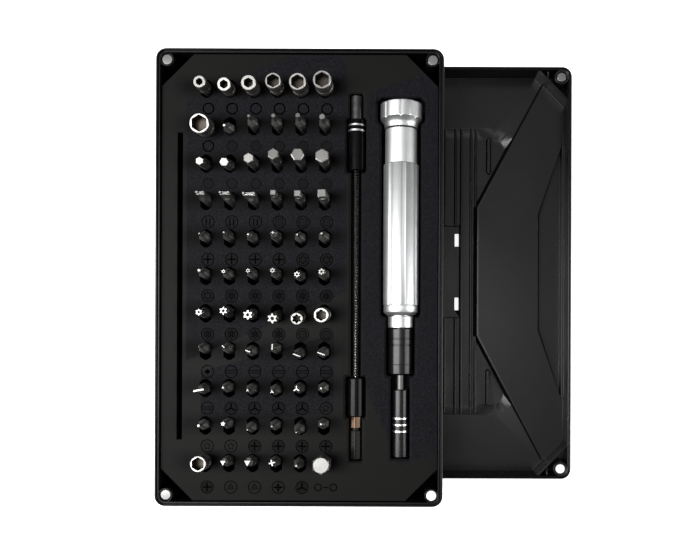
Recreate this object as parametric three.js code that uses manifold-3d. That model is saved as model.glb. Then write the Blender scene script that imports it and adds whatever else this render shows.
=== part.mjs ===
// Precision screwdriver set: a bit tray resting on the upturned rim of its own lid.
// Millimetres, +Z up. The origin is under the middle of the whole object, on the surface it lies on.
// The lid lies with its hollow side up, and the tray sits across the lid's left half.

import * as THREE from 'three';
import { mergeVertices } from 'three/addons/utils/BufferGeometryUtils.js';
import Module from 'manifold-3d';

const wasm = await Module();
wasm.setup();

// ---------- driving dimensions ----------

const CASE_WIDTH = 117;
const CASE_LENGTH = 186;
const CASE_RADIUS = 4.3;
const WALL = 2;
const LID_WALL = 1.5;
const FLOOR = 2;
const EDGE_CHAMFER = 0.5;
const FIT_GAP = 0.3;
const LID_HEIGHT = 15;
const TRAY_HEIGHT = 30;
const LID_SHIFT = [58.6, 4.4]; // lid centre seen from the tray centre
const RIM_GROOVE = { inset: 0.95, width: 0.45, depth: 0.8 };
const LID_GROOVE = { inset: 0.65, width: 0.4, depth: 0.8 };

const MAGNET = { x: 53.9, y: 88.4, radius: 2.1, height: 2, belowRim: 0.3, sink: 0.3 };
const TRAY_BOSS = 2.9;
const LID_BOSS = 3.3;

const DECK_RECESS = 1.2;
const DECK_THICKNESS = 2;
const DECK_CORNER = 13;
const DECK_TOP = TRAY_HEIGHT - DECK_RECESS;
const BLOCK_BOTTOM = FLOOR + FIT_GAP;

const BIT_COLUMNS = 6;
const BIT_ROWS = 11;
const BIT_FIRST = [-38.1, 76.7];
const BIT_PITCH = [9.65, 15.22];
const BIT_ACROSS_FLATS = 4;
const BIT_LENGTH = 27.5;
const SOCKET_LENGTH = 28;
const HEAD_BOTTOM = 20; // sleeves and large heads start here, just above the deck
const BIT_SUNK = 19;
const BIT_PIVOT_DEPTH = 9.5;
const WELL = { halfWidth: 2.3, shoulder: 2.4, endHalfWidth: 0.6, halfLength: 3.7 };

const DRIVER_X = 41.1;
const DRIVER_Z = DECK_TOP - 2.5;
const SHAFT_X = 22.9;
const SHAFT_Z = DECK_TOP - 1.8;
const POCKET_GAP = 0.4;

const ROUND_SEGMENTS = 24;
const SMALL_SEGMENTS = 16;

const BLACK_PLASTIC = { color: 0x18191a, roughness: 0.5, metalness: 0 };
const DECK_PLASTIC = { color: 0x222325, roughness: 0.6, metalness: 0 };
const ALUMINIUM = { color: 0xcfd1d4, roughness: 0.3, metalness: 1 };
const STEEL = { color: 0xb9bbbe, roughness: 0.3, metalness: 1 };
const DARK_STEEL = { color: 0x2d2e31, roughness: 0.4, metalness: 0.8 };
const NICKEL = { color: 0xdcdcda, roughness: 0.15, metalness: 1 };
const BLACK_METAL = { color: 0x141415, roughness: 0.35, metalness: 0.6 };

// ---------- solids ----------

function solidOf(geometry) {
  const bare = geometry.clone();
  bare.deleteAttribute('normal');
  bare.deleteAttribute('uv');
  const merged = mergeVertices(bare, 1e-4);
  const vertProperties = new Float32Array(merged.attributes.position.array);
  const triVerts = new Uint32Array(merged.index.array);
  return new wasm.Manifold(new wasm.Mesh({ numProp: 3, vertProperties, triVerts }));
}

function geometryOf(solid) {
  const mesh = solid.getMesh();
  const geometry = new THREE.BufferGeometry();
  geometry.setAttribute('position', new THREE.BufferAttribute(mesh.vertProperties, 3));
  geometry.setIndex(new THREE.BufferAttribute(mesh.triVerts, 1));
  geometry.computeVertexNormals();
  return geometry;
}

function joined(solids) {
  return solids.reduce((whole, solid) => whole.add(solid));
}

function cut(solid, tools) {
  return tools.reduce((rest, tool) => rest.subtract(tool), solid);
}

// An upright prism over an outline, with an equal chamfer round both of its ends.
function prism(shape, low, high, chamfer = 0) {
  const geometry = new THREE.ExtrudeGeometry(shape, {
    depth: high - low - 2 * chamfer,
    curveSegments: 4,
    bevelEnabled: chamfer > 0,
    bevelThickness: chamfer,
    bevelSize: chamfer,
    bevelOffset: -chamfer,
    bevelSegments: 1,
  });
  geometry.translate(0, 0, low + chamfer);
  return solidOf(geometry);
}

function polygon(points) {
  return new THREE.Shape(points.map(([x, y]) => new THREE.Vector2(x, y)));
}

function roundedRectangle(width, length, radius) {
  const x = width / 2 - radius;
  const y = length / 2 - radius;
  const shape = new THREE.Shape();
  shape.absarc(x, y, radius, 0, Math.PI / 2);
  shape.absarc(-x, y, radius, Math.PI / 2, Math.PI);
  shape.absarc(-x, -y, radius, Math.PI, Math.PI * 1.5);
  shape.absarc(x, -y, radius, Math.PI * 1.5, Math.PI * 2);
  shape.closePath();
  return shape;
}

function box(low, high) {
  const size = [0, 1, 2].map((axis) => high[axis] - low[axis]);
  const geometry = new THREE.BoxGeometry(size[0], size[1], size[2]);
  geometry.translate((low[0] + high[0]) / 2, (low[1] + high[1]) / 2, (low[2] + high[2]) / 2);
  return solidOf(geometry);
}

// An upright regular prism or cone frustum, with a corner pointing along Y.
function frustum(sides, lowRadius, highRadius, low, high, x = 0, y = 0) {
  const geometry = new THREE.CylinderGeometry(highRadius, lowRadius, high - low, sides);
  geometry.rotateX(Math.PI / 2);
  geometry.translate(x, y, (low + high) / 2);
  return solidOf(geometry);
}

// A turned piece about the Y axis, from [radius, y] pairs. It starts and ends on the axis.
function turned(profile, segments = ROUND_SEGMENTS) {
  const points = profile.map(([radius, y]) => new THREE.Vector2(radius, y));
  return solidOf(new THREE.LatheGeometry(points, segments));
}

function hexRadius(acrossFlats) {
  return acrossFlats / Math.sqrt(3);
}

// A hexagonal bar or bore along Y, with two corners up and down.
function hexBar(acrossFlats, yLow, yHigh) {
  const radius = hexRadius(acrossFlats);
  return turned([[0, yLow], [radius, yLow], [radius, yHigh], [0, yHigh]], 6);
}

function rod(radius, yLow, yHigh, segments = ROUND_SEGMENTS) {
  return turned([[0, yLow], [radius, yLow], [radius, yHigh], [0, yHigh]], segments);
}

function part(name, solid, finish) {
  const mesh = new THREE.Mesh(geometryOf(solid), new THREE.MeshStandardMaterial(finish));
  mesh.name = name;
  return mesh;
}

function fourCorners(make) {
  const signs = [[1, 1], [-1, 1], [-1, -1], [1, -1]];
  return signs.map(([sx, sy], index) => make(sx, sy, index));
}

// ---------- case shells ----------

function caseOutline(inset) {
  const radius = CASE_RADIUS - inset;
  return roundedRectangle(CASE_WIDTH - 2 * inset, CASE_LENGTH - 2 * inset, radius);
}

function rimGroove(height, { inset, width, depth }) {
  const outer = prism(caseOutline(inset), height - depth, height + 1);
  return outer.subtract(prism(caseOutline(inset + width), height - depth - 1, height + 2));
}

function bosses(floor, height, radius) {
  const top = height - MAGNET.belowRim;
  return fourCorners((sx, sy) => frustum(SMALL_SEGMENTS, radius, radius, floor, top, sx * MAGNET.x, sy * MAGNET.y));
}

function magnetSeats(height) {
  const seat = height - MAGNET.belowRim - MAGNET.sink - MAGNET.height - FIT_GAP;
  const radius = MAGNET.radius + FIT_GAP;
  return fourCorners((sx, sy) =>
    frustum(SMALL_SEGMENTS, radius, radius, seat, height + 1, sx * MAGNET.x, sy * MAGNET.y),
  );
}

function magnets(prefix, height) {
  const top = height - MAGNET.belowRim - MAGNET.sink;
  return fourCorners((sx, sy, index) => {
    const disc = frustum(SMALL_SEGMENTS, MAGNET.radius, MAGNET.radius, top - MAGNET.height, top);
    const mesh = part(`${prefix}_magnet_${index + 1}`, disc, NICKEL);
    mesh.position.set(sx * MAGNET.x, sy * MAGNET.y, 0);
    return mesh;
  });
}

function trayShell() {
  const body = prism(caseOutline(0), 0, TRAY_HEIGHT, EDGE_CHAMFER);
  const hollow = prism(caseOutline(WALL), FLOOR, TRAY_HEIGHT + 1);
  const shell = joined([body.subtract(hollow), ...bosses(FLOOR - 1, TRAY_HEIGHT, TRAY_BOSS)]);
  return cut(shell, [rimGroove(TRAY_HEIGHT, RIM_GROOVE), ...magnetSeats(TRAY_HEIGHT)]);
}

// ---------- lid ----------

const LID_FLOOR = 3.8;
const PANEL_FLOOR = 2;
const RELIEF_Y = 1.2; // the relief sits a little behind the middle of the lid
const PANEL = { halfWidth: 34.5, halfLength: 67.1, radius: 9.5, border: 5 };
const FACET = { top: 5.4, bottom: 0.6, ridgeX: 17.35, ridgeY: 29.8, endX: 48.1, endY: 87.6 };
// The ridge's slope from its foot to the field: each step's run from the field's outline, and its height.
const RIDGE = [
  [2.7, 0.6],
  [0.75, 5.2],
  [-0.45, 5.4],
];
const WELL_OUTLINE = [[55.9, 58.6], [45.6, 26.6], [45.6, -26.6], [55.9, -58.6]];
const WELL_FLOOR = 2.4;
const WELL_LIP = { run: 0.7, drop: 0.6 };
const SIDE_RAIL = { low: 55.7, high: 57.4, halfLength: 58.4, top: 6.6 };
const FIN = { width: 0.9, top: 3.7, halfLength: 66.6, run: 0.36, drop: 0.07 };
const LONG_FIN_X = [9.4, 13.9, 16.1];
const SPLIT_FIN_X = [1.75, 6.7];
const PAD = { halfWidth: 8.7, halfLength: 21.4, floor: 1.3 };
const SHORT_RIB = { x: 22.2, y: 54.4, width: 2.6, length: 17.8, top: 3.3, slope: 0.6 };
const LID_SLOT = { low: 6.5, high: 8.4, y: 15, halfLength: 3 };
const CORNER_WALL = { from: [43.6, 92], to: [57, 78], width: 1, top: 13.8 };
const CORNER_GUSSET = { x: 48.2, low: 86.6, high: 91.8, width: 0.7, top: 12.6 };
const OUTSIDE = { facetDepth: 1.2, endDepth: 1, frame: 6, endStart: 69 };

function mirrored(points, sx) {
  return points.map(([x, y]) => [x * sx, y]);
}

// A slab whose sides slope inwards towards both faces, by the run given over the rise given.
function slopedSlab(shape, low, high, run, rise) {
  const geometry = new THREE.ExtrudeGeometry(shape, {
    depth: high - low - 2 * rise,
    curveSegments: 5,
    bevelEnabled: true,
    bevelThickness: rise,
    bevelSize: run,
    bevelOffset: -run,
    bevelSegments: 1,
  });
  geometry.translate(0, 0, low + rise);
  return solidOf(geometry);
}

// The floor's side facet: a raised field that reaches the side wall, behind a sloping angular ridge.
function facet(sx) {
  const { ridgeX, ridgeY, endX, endY } = FACET;
  const buried = CASE_WIDTH / 2 - EDGE_CHAMFER;
  const corners = RIDGE.flatMap(([run, z]) => {
    const outline = [
      [endX - run, endY],
      [ridgeX - run, ridgeY],
      [ridgeX - run, -ridgeY],
      [endX - run, -endY],
      [buried, -endY],
      [buried, endY],
    ];
    return mirrored(outline, sx).map(([x, y]) => [x, y, z]);
  });
  return wasm.Manifold.hull(corners);
}

function panelPocket() {
  const { halfWidth, halfLength, radius, border } = PANEL;
  const shape = roundedRectangle(2 * halfWidth, 2 * halfLength, radius);
  return slopedSlab(shape, PANEL_FLOOR, LID_HEIGHT, border, LID_FLOOR - PANEL_FLOOR);
}

function fin(x, low, high) {
  const left = x - FIN.width / 2;
  const right = x + FIN.width / 2;
  const shape = polygon([[left, low], [right, low], [right, high], [left, high]]);
  return slopedSlab(shape, PANEL_FLOOR - 0.5, FIN.top, FIN.run, FIN.drop);
}

function lidRibs() {
  const ribs = [];
  for (const sx of [-1, 1]) {
    for (const x of LONG_FIN_X) {
      ribs.push(fin(sx * x, -FIN.halfLength, FIN.halfLength));
    }
    for (const x of SPLIT_FIN_X) {
      ribs.push(fin(sx * x, PAD.halfLength, FIN.halfLength));
      ribs.push(fin(sx * x, -FIN.halfLength, -PAD.halfLength));
    }
    for (const sy of [-1, 1]) {
      const { x, y, width, length, top, slope } = SHORT_RIB;
      const ends = [-1, 1].map((end) => {
        const middle = sy * y + (end * (length - width)) / 2;
        return frustum(SMALL_SEGMENTS, width / 2, width / 2 - slope, PANEL_FLOOR - 0.5, top, sx * x, middle);
      });
      ribs.push(wasm.Manifold.hull(ends));
    }
  }
  return ribs;
}

function sideRails() {
  const { low, high, halfLength, top } = SIDE_RAIL;
  const bottom = WELL_FLOOR - 0.8;
  return [
    box([low, -halfLength, bottom], [high, halfLength, top]),
    box([-high, -halfLength, bottom], [-low, halfLength, top]),
  ];
}

function lidSlots() {
  const slots = [];
  for (const sx of [-1, 1]) {
    for (const sy of [-1, 1]) {
      const x = (sx * (LID_SLOT.low + LID_SLOT.high)) / 2;
      const halfWidth = (LID_SLOT.high - LID_SLOT.low) / 2;
      const y = sy * LID_SLOT.y;
      const low = [x - halfWidth, y - LID_SLOT.halfLength, -1];
      const high = [x + halfWidth, y + LID_SLOT.halfLength, LID_FLOOR + 2];
      slots.push(box(low, high));
    }
  }
  return slots;
}

function cornerWalls() {
  const { from, to, width, top } = CORNER_WALL;
  const gusset = CORNER_GUSSET;
  return fourCorners((sx, sy) => {
    const length = Math.hypot(to[0] - from[0], to[1] - from[1]);
    const wall = new THREE.BoxGeometry(length + 1, width, top - 1);
    wall.rotateZ(Math.atan2(sy * (to[1] - from[1]), sx * (to[0] - from[0])));
    wall.translate((sx * (from[0] + to[0])) / 2, (sy * (from[1] + to[1])) / 2, (top + 1) / 2);
    const stay = new THREE.BoxGeometry(gusset.width, gusset.high - gusset.low, gusset.top - 1);
    stay.translate(sx * gusset.x, (sy * (gusset.low + gusset.high)) / 2, (gusset.top + 1) / 2);
    return solidOf(wall).add(solidOf(stay));
  });
}

function sideWell(sx) {
  const shape = polygon(mirrored(WELL_OUTLINE, sx));
  const { run, drop } = WELL_LIP;
  const wide = polygon(mirrored(WELL_OUTLINE.map(([x, y]) => [x < 50 ? x - run : x, y]), sx));
  const shaft = prism(shape, WELL_FLOOR, LID_HEIGHT);
  return shaft.add(slopedSlab(wide, FACET.top - drop, LID_HEIGHT, run, drop).intersect(box([-56, -90, 0], [56, 90, 30])));
}

// On the outside the facets and both ends are shallow recesses round an hourglass-shaped plateau.
function outsideRecesses() {
  const { facetDepth, endDepth, frame, endStart } = OUTSIDE;
  const x = CASE_WIDTH / 2 - frame;
  const y = CASE_LENGTH / 2 - frame;
  const side = [[43, 80], [34.4, 61], [19, 31.5], [19, -29.5], [33.8, -60.2], [43, -80], [x, -80], [x, 80]];
  const end = [[-36.5, endStart], [36.5, endStart], [40.5, 76], [40.5, y], [-40.5, y], [-40.5, 76]];
  const flipped = end.map(([px, py]) => [px, -py]);
  return [
    prism(polygon(side), -1, facetDepth),
    prism(polygon(mirrored(side, -1)), -1, facetDepth),
    prism(polygon(end), -1, endDepth),
    prism(polygon(flipped), -1, endDepth),
  ];
}

function lidShell() {
  const body = prism(caseOutline(0), 0, LID_HEIGHT, EDGE_CHAMFER);
  const hollow = prism(caseOutline(LID_WALL), LID_FLOOR, LID_HEIGHT + 1);
  const raised = (solid) => solid.translate([0, RELIEF_Y, 0]);
  const inside = cut(body, [hollow, raised(panelPocket()), rimGroove(LID_HEIGHT, LID_GROOVE)]);
  const relief = joined([inside, raised(joined([...lidRibs(), facet(1), facet(-1)])), ...cornerWalls()]);
  const padLow = [-PAD.halfWidth, -PAD.halfLength, PAD.floor];
  const pad = box(padLow, [PAD.halfWidth, PAD.halfLength, PANEL_FLOOR + 0.01]);
  const sunk = joined([sideWell(1), sideWell(-1), pad, ...lidSlots()]);
  const detailed = cut(relief, [raised(sunk), ...outsideRecesses()]);
  const rails = raised(joined(sideRails()));
  return cut(joined([detailed, rails, ...bosses(LID_FLOOR - 1, LID_HEIGHT, LID_BOSS)]), magnetSeats(LID_HEIGHT));
}

// ---------- tray insert ----------

const SEAM_X = 17.6; // the bit side and the tool side of the insert meet here
const TOOL_SLOT = { low: -49.8, high: -47.6, front: -66, back: 58.9, floor: 14 };
const WELL_BLOCK = { low: [-43.2, -82, 7], high: [16.2, 82] };
const SLOT_BLOCK = { low: [-52, -68, 12.5], high: [-45.6, 61] };
const TOOL_BLOCK = { low: [17.9, -76.6, 15.7], high: [52.4, 76.6] };
const LEG = { halfLength: 2.6, rows: [1, 9], bitSide: [-38, 14], toolSide: [22, 50] };
const LIP = { run: 0.8, drop: 0.5 };

// The driver's pocket, from the cap end to the tip. Each station is as wide as it says, and its floor lies under
// what rests in it. A taper cuts the station's two corners at that end.
const DRIVER_POCKET = [
  { back: 73.4, front: 62, halfWidth: 9.65, radius: 8.7, taperFront: 2, taperBack: 1.6 },
  { back: 64, front: -15.8, halfWidth: 8, radius: 7.35, taperFront: 0.8, taperBack: 0 },
  { back: -14, front: -40, halfWidth: 5.8, radius: 5, taperFront: 0.8, taperBack: 0 },
  { back: -39, front: -73.7, halfWidth: 3.9, radius: 3.25, taperFront: 0, taperBack: 0 },
];

const SHAFT_POCKET = [
  { back: 74.9, front: 64, halfWidth: 2.75, radius: 2.3, taperFront: 0, taperBack: 0.6 },
  { back: 65.1, front: 42.9, halfWidth: 3.9, radius: 3.55, taperFront: 0.6, taperBack: 0.6 },
  { back: 44, front: -42, halfWidth: 2.05, radius: 1.5, taperFront: 0, taperBack: 0 },
  { back: -40.2, front: -57, halfWidth: 4.1, radius: 3.3, taperFront: 0.6, taperBack: 0.6 },
  { back: -56, front: -74.6, halfWidth: 2.65, radius: 2.31, taperFront: 0, taperBack: 0 },
];

function bitPlace(column, row) {
  return [BIT_FIRST[0] + column * BIT_PITCH[0], BIT_FIRST[1] - row * BIT_PITCH[1]];
}

function bitWell(x, y) {
  const { halfWidth, shoulder, endHalfWidth, halfLength } = WELL;
  const outline = [
    [x + halfWidth, y - shoulder],
    [x + halfWidth, y + shoulder],
    [x + endHalfWidth, y + halfLength],
    [x - endHalfWidth, y + halfLength],
    [x - halfWidth, y + shoulder],
    [x - halfWidth, y - shoulder],
    [x - endHalfWidth, y - halfLength],
    [x + endHalfWidth, y - halfLength],
  ];
  return prism(polygon(outline), DECK_TOP - BIT_SUNK - 2 * FIT_GAP, DECK_TOP + 1);
}

// A station's outline, grown on every side by the margin.
function stationOutline({ back, front, halfWidth, taperFront, taperBack }, x, margin) {
  const w = halfWidth + margin;
  const low = front - margin;
  const high = back + margin;
  const corners = [
    [x + w - taperFront, low],
    [x + w, low + taperFront],
    [x + w, high - taperBack],
    [x + w - taperBack, high],
    [x - w + taperBack, high],
    [x - w, high - taperBack],
    [x - w, low + taperFront],
    [x - w + taperFront, low],
  ];
  return polygon(corners.filter(([px, py], index) => {
    const [nextX, nextY] = corners[(index + 1) % corners.length];
    return Math.hypot(nextX - px, nextY - py) > 1e-6;
  }));
}

// The pocket's stations, and the sloped lip round the edge of each.
function pocketCuts(stations, x, z) {
  return stations.flatMap((station) => {
    const shaft = prism(stationOutline(station, x, 0), z - station.radius - POCKET_GAP, DECK_TOP + 1);
    const rim = stationOutline(station, x, LIP.run);
    return [shaft, slopedSlab(rim, DECK_TOP - LIP.drop, DECK_TOP + 3, LIP.run, LIP.drop)];
  });
}

function deckOutline() {
  const x = CASE_WIDTH / 2 - WALL - FIT_GAP;
  const y = CASE_LENGTH / 2 - WALL - FIT_GAP;
  const c = DECK_CORNER;
  const right = [[x - c, -y], [x, -y + c], [x, y - c], [x - c, y]];
  const left = [[-x + c, y], [-x, y - c], [-x, -y + c], [-x + c, -y]];
  return polygon([...right, ...left]);
}

// Ribs stand between the rows of wells: the block is open from below between them.
function gapsUnderRows() {
  const gaps = [];
  for (let row = 0; row < BIT_ROWS - 1; row += 1) {
    const y = BIT_FIRST[1] - (row + 0.5) * BIT_PITCH[1];
    const x = BIT_FIRST[0] - WELL.halfWidth;
    const xEnd = BIT_FIRST[0] + (BIT_COLUMNS - 1) * BIT_PITCH[0] + WELL.halfWidth;
    gaps.push(box([x, y - 2.4, BLOCK_BOTTOM - 1], [xEnd, y + 2.4, DECK_TOP - DECK_THICKNESS]));
  }
  return gaps;
}

function legs([low, high], top) {
  return LEG.rows.map((row) => {
    const y = BIT_FIRST[1] - row * BIT_PITCH[1];
    return box([low, y - LEG.halfLength, BLOCK_BOTTOM], [high, y + LEG.halfLength, top]);
  });
}

// One side of the deck and the block under it.
function insertHalf(blocks, away) {
  const deck = prism(deckOutline(), DECK_TOP - DECK_THICKNESS, DECK_TOP).subtract(away);
  const underDeck = DECK_TOP - DECK_THICKNESS / 2;
  const solids = blocks.map(({ low, high }) => box(low, [...high, underDeck]));
  return joined([deck, ...solids]);
}

function bitInsert() {
  const away = box([SEAM_X - FIT_GAP / 2, -100, 0], [100, 100, 100]);
  const block = insertHalf([WELL_BLOCK, SLOT_BLOCK], away);
  const wells = [];
  for (let row = 0; row < BIT_ROWS; row += 1) {
    for (let column = 0; column < BIT_COLUMNS; column += 1) {
      const [x, y] = bitPlace(column, row);
      wells.push(bitWell(x, y));
    }
  }
  const { low, high, front, back, floor } = TOOL_SLOT;
  const slot = box([low, front, floor], [high, back, DECK_TOP + 1]);
  const hollowed = cut(block, [joined(wells), slot, ...gapsUnderRows()]);
  return joined([hollowed, ...legs(LEG.bitSide, WELL_BLOCK.low[2] + 0.5)]);
}

function toolInsert() {
  const away = box([-100, -100, 0], [SEAM_X + FIT_GAP / 2, 100, 100]);
  const block = insertHalf([TOOL_BLOCK], away);
  const driver = pocketCuts(DRIVER_POCKET, DRIVER_X, DRIVER_Z);
  const shaft = pocketCuts(SHAFT_POCKET, SHAFT_X, SHAFT_Z);
  return joined([cut(block, [...driver, ...shaft]), ...legs(LEG.toolSide, TOOL_BLOCK.low[2] + 0.5)]);
}

// ---------- screwdriver ----------

const CAP = { radius: 8.7, back: 71.2, rim: 64.3, front: 61, frontRadius: 6.8, flutes: 8 };
const HANDLE = { back: 60.6, neckRadius: 6.55, gripBack: 46.3, gripRadius: 7.35, gripFront: -11.2 };
const HANDLE_RING = { radius: 7.05, front: -13.9, taperFront: -15.2 };
const NOSE = { radius: 5.25, back: -10, front: -20.2, stemRadius: 4 };
const CHUCK = { radius: 5, back: -20.6, front: -39.4, stemRadius: 2.4, stemBack: -12 };
const SOCKET_ACROSS = 4.25;
const CAP_AXLE = { radius: 2, low: 53.5, high: 67.2, headRadius: 3.4, headHigh: 68.8 };
const BEARING = { inner: 2.35, outer: 5, low: 62.2, high: 66.6 };
const EXTENSION = {
  radius: 3.25,
  back: -45.5,
  front: -73.1,
  shankBack: -29.6,
  hexBack: -39,
  hexFront: -46.6,
  shankFront: -56,
  rodRadius: 1.45,
};

function fluteCutters() {
  const cutters = [];
  for (let index = 0; index < CAP.flutes; index += 1) {
    const angle = (index / CAP.flutes) * 2 * Math.PI;
    const reach = CAP.radius + 0.75;
    const tool = new THREE.CylinderGeometry(1.2, 1.2, CAP.back - CAP.rim + 1, 8);
    tool.translate(reach * Math.cos(angle), (CAP.back + CAP.rim) / 2, reach * Math.sin(angle));
    cutters.push(solidOf(tool));
  }
  return cutters;
}

function driverCap() {
  const chamfer = 0.6;
  const body = turned([
    [0, CAP.front],
    [CAP.frontRadius, CAP.front],
    [CAP.radius, CAP.rim],
    [CAP.radius, CAP.back - chamfer],
    [CAP.radius - chamfer, CAP.back],
    [0, CAP.back],
  ]);
  const boreEnd = CAP_AXLE.headHigh + FIT_GAP;
  return cut(body, [rod(BEARING.outer + FIT_GAP, CAP.front - 1, boreEnd), ...fluteCutters()]);
}

function capBearing() {
  return rod(BEARING.outer, BEARING.low, BEARING.high).subtract(
    rod(BEARING.inner, BEARING.low - 1, BEARING.high + 1, SMALL_SEGMENTS),
  );
}

function capAxle() {
  return turned(
    [
      [0, CAP_AXLE.low],
      [CAP_AXLE.radius, CAP_AXLE.low],
      [CAP_AXLE.radius, CAP_AXLE.high],
      [CAP_AXLE.headRadius, CAP_AXLE.high],
      [CAP_AXLE.headRadius, CAP_AXLE.headHigh],
      [0, CAP_AXLE.headHigh],
    ],
    SMALL_SEGMENTS,
  );
}

function driverHandle() {
  const body = turned([
    [0, HANDLE_RING.taperFront],
    [NOSE.radius + 0.2, HANDLE_RING.taperFront],
    [HANDLE_RING.radius, HANDLE_RING.front],
    [HANDLE_RING.radius, HANDLE.gripFront - 0.3],
    [HANDLE.gripRadius, HANDLE.gripFront],
    [HANDLE.gripRadius, HANDLE.gripBack],
    [HANDLE.neckRadius, HANDLE.gripBack + 0.6],
    [HANDLE.neckRadius, HANDLE.back],
    [0, HANDLE.back],
  ]);
  const axleBore = rod(CAP_AXLE.radius + FIT_GAP, CAP_AXLE.low - FIT_GAP, HANDLE.back + 1, SMALL_SEGMENTS);
  const noseFront = HANDLE_RING.taperFront - 1;
  const noseBore = rod(NOSE.stemRadius + FIT_GAP, noseFront, NOSE.back + FIT_GAP, SMALL_SEGMENTS);
  return cut(body, [axleBore, noseBore]);
}

function driverNose() {
  const shoulder = HANDLE_RING.taperFront - FIT_GAP;
  const body = turned([
    [0, NOSE.front],
    [NOSE.radius, NOSE.front],
    [NOSE.radius, shoulder],
    [NOSE.stemRadius, shoulder],
    [NOSE.stemRadius, NOSE.back],
    [0, NOSE.back],
  ]);
  const bore = rod(CHUCK.stemRadius + FIT_GAP, NOSE.front - 1, CHUCK.stemBack + FIT_GAP, SMALL_SEGMENTS);
  return body.subtract(bore);
}

function driverChuck() {
  const chamfer = 0.7;
  const body = turned([
    [0, CHUCK.front],
    [CHUCK.radius - chamfer, CHUCK.front],
    [CHUCK.radius, CHUCK.front + chamfer],
    [CHUCK.radius, CHUCK.back],
    [CHUCK.stemRadius, CHUCK.back],
    [CHUCK.stemRadius, CHUCK.stemBack],
    [0, CHUCK.stemBack],
  ]);
  const socketEnd = EXTENSION.shankBack + FIT_GAP;
  const socket = hexBar(SOCKET_ACROSS, CHUCK.front - 1, socketEnd);
  const magnetSeat = rod(1.9, socketEnd - 0.5, socketEnd + 3.2, SMALL_SEGMENTS);
  return cut(body, [socket, magnetSeat]);
}

function chuckMagnet() {
  const low = EXTENSION.shankBack + FIT_GAP + 0.3;
  return rod(1.6, low, low + 2.5, SMALL_SEGMENTS);
}

// Hexagonal in the chuck and in the sleeve, and turned down to a thin rod between them.
function extensionShank() {
  const across = BIT_ACROSS_FLATS - 0.1;
  const { shankFront, shankBack, hexFront, hexBack, rodRadius } = EXTENSION;
  return joined([
    hexBar(across, hexBack, shankBack),
    rod(rodRadius, hexFront - 0.5, hexBack + 0.5, SMALL_SEGMENTS),
    hexBar(across, shankFront, hexFront),
  ]);
}

function extensionSleeve() {
  const chamfer = 0.5;
  const body = turned([
    [0, EXTENSION.front],
    [EXTENSION.radius - chamfer, EXTENSION.front],
    [EXTENSION.radius, EXTENSION.front + chamfer],
    [EXTENSION.radius, EXTENSION.back - chamfer],
    [EXTENSION.radius - chamfer, EXTENSION.back],
    [0, EXTENSION.back],
  ]);
  return body.subtract(hexBar(SOCKET_ACROSS + 0.15, EXTENSION.front - 1, EXTENSION.back + 1));
}

function extensionMagnet() {
  return rod(1.7, EXTENSION.shankFront - 3, EXTENSION.shankFront - FIT_GAP, SMALL_SEGMENTS);
}

// ---------- flexible shaft ----------

const SHAFT = {
  noseRadius: 2.3,
  noseBack: 74.2,
  collarBack: 64.6,
  collarRadius: 3.55,
  collarFront: 43.4,
  sheathRadius: 1.5,
  sheathBore: 0.95,
  sheathBack: 46.5,
  sheathFront: -44.5,
  coreRadius: 0.6,
  ferruleRadius: 3.3,
  ferruleBack: -40.7,
  ferruleFront: -56.5,
  driveFront: -74.1,
};

function shaftSocket() {
  const chamfer = 0.6;
  const body = turned([
    [0, SHAFT.collarFront],
    [SHAFT.collarRadius - chamfer, SHAFT.collarFront],
    [SHAFT.collarRadius, SHAFT.collarFront + chamfer],
    [SHAFT.collarRadius, SHAFT.collarBack - chamfer],
    [SHAFT.noseRadius, SHAFT.collarBack],
    [SHAFT.noseRadius, SHAFT.noseBack],
    [0, SHAFT.noseBack],
  ]);
  const seatRadius = SHAFT.sheathRadius + FIT_GAP;
  const sheathBore = rod(seatRadius, SHAFT.collarFront - 1, SHAFT.sheathBack + FIT_GAP, SMALL_SEGMENTS);
  const coreBore = rod(SHAFT.coreRadius + FIT_GAP, SHAFT.sheathBack - 1, SHAFT.sheathBack + 4.3, 8);
  return cut(body, [sheathBore, coreBore]);
}

function shaftSheath() {
  const tube = rod(SHAFT.sheathRadius, SHAFT.sheathFront, SHAFT.sheathBack, 12);
  return tube.subtract(rod(SHAFT.sheathBore, SHAFT.sheathFront - 1, SHAFT.sheathBack + 1, 8));
}

function shaftCore() {
  return rod(SHAFT.coreRadius, SHAFT.sheathFront - 3, SHAFT.sheathBack + 4, 8);
}

function shaftFerrule() {
  const body = rod(SHAFT.ferruleRadius, SHAFT.ferruleFront, SHAFT.ferruleBack);
  const seatRadius = SHAFT.sheathRadius + FIT_GAP;
  const sheathSeat = rod(seatRadius, SHAFT.sheathFront - FIT_GAP, SHAFT.ferruleBack + 1, SMALL_SEGMENTS);
  const driveRadius = hexRadius(BIT_ACROSS_FLATS) + FIT_GAP;
  const driveBore = rod(driveRadius, SHAFT.ferruleFront - 1, SHAFT.sheathFront - 3, SMALL_SEGMENTS);
  const coreBore = rod(SHAFT.coreRadius + FIT_GAP, SHAFT.sheathFront - 4, SHAFT.sheathFront, 8);
  return cut(body, [sheathSeat, driveBore, coreBore]);
}

function shaftDrive() {
  const back = SHAFT.sheathFront - 3 - FIT_GAP;
  return hexBar(BIT_ACROSS_FLATS, SHAFT.driveFront, back);
}

// ---------- bits ----------

// One row per line, left to right. A row that is not listed here holds no bits in this file.
const SOCKET_ROW = [
  { kind: 'socket', outer: 4.9, hex: 2.5 },
  { kind: 'socket', outer: 5.3, hex: 3 },
  { kind: 'socket', outer: 5.8, hex: 3.5 },
  { kind: 'socket', outer: 6.3, hex: 4 },
  { kind: 'socket', outer: 6.9, hex: 5 },
  { kind: 'socket', outer: 7.4, hex: 5.5 },
];

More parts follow.
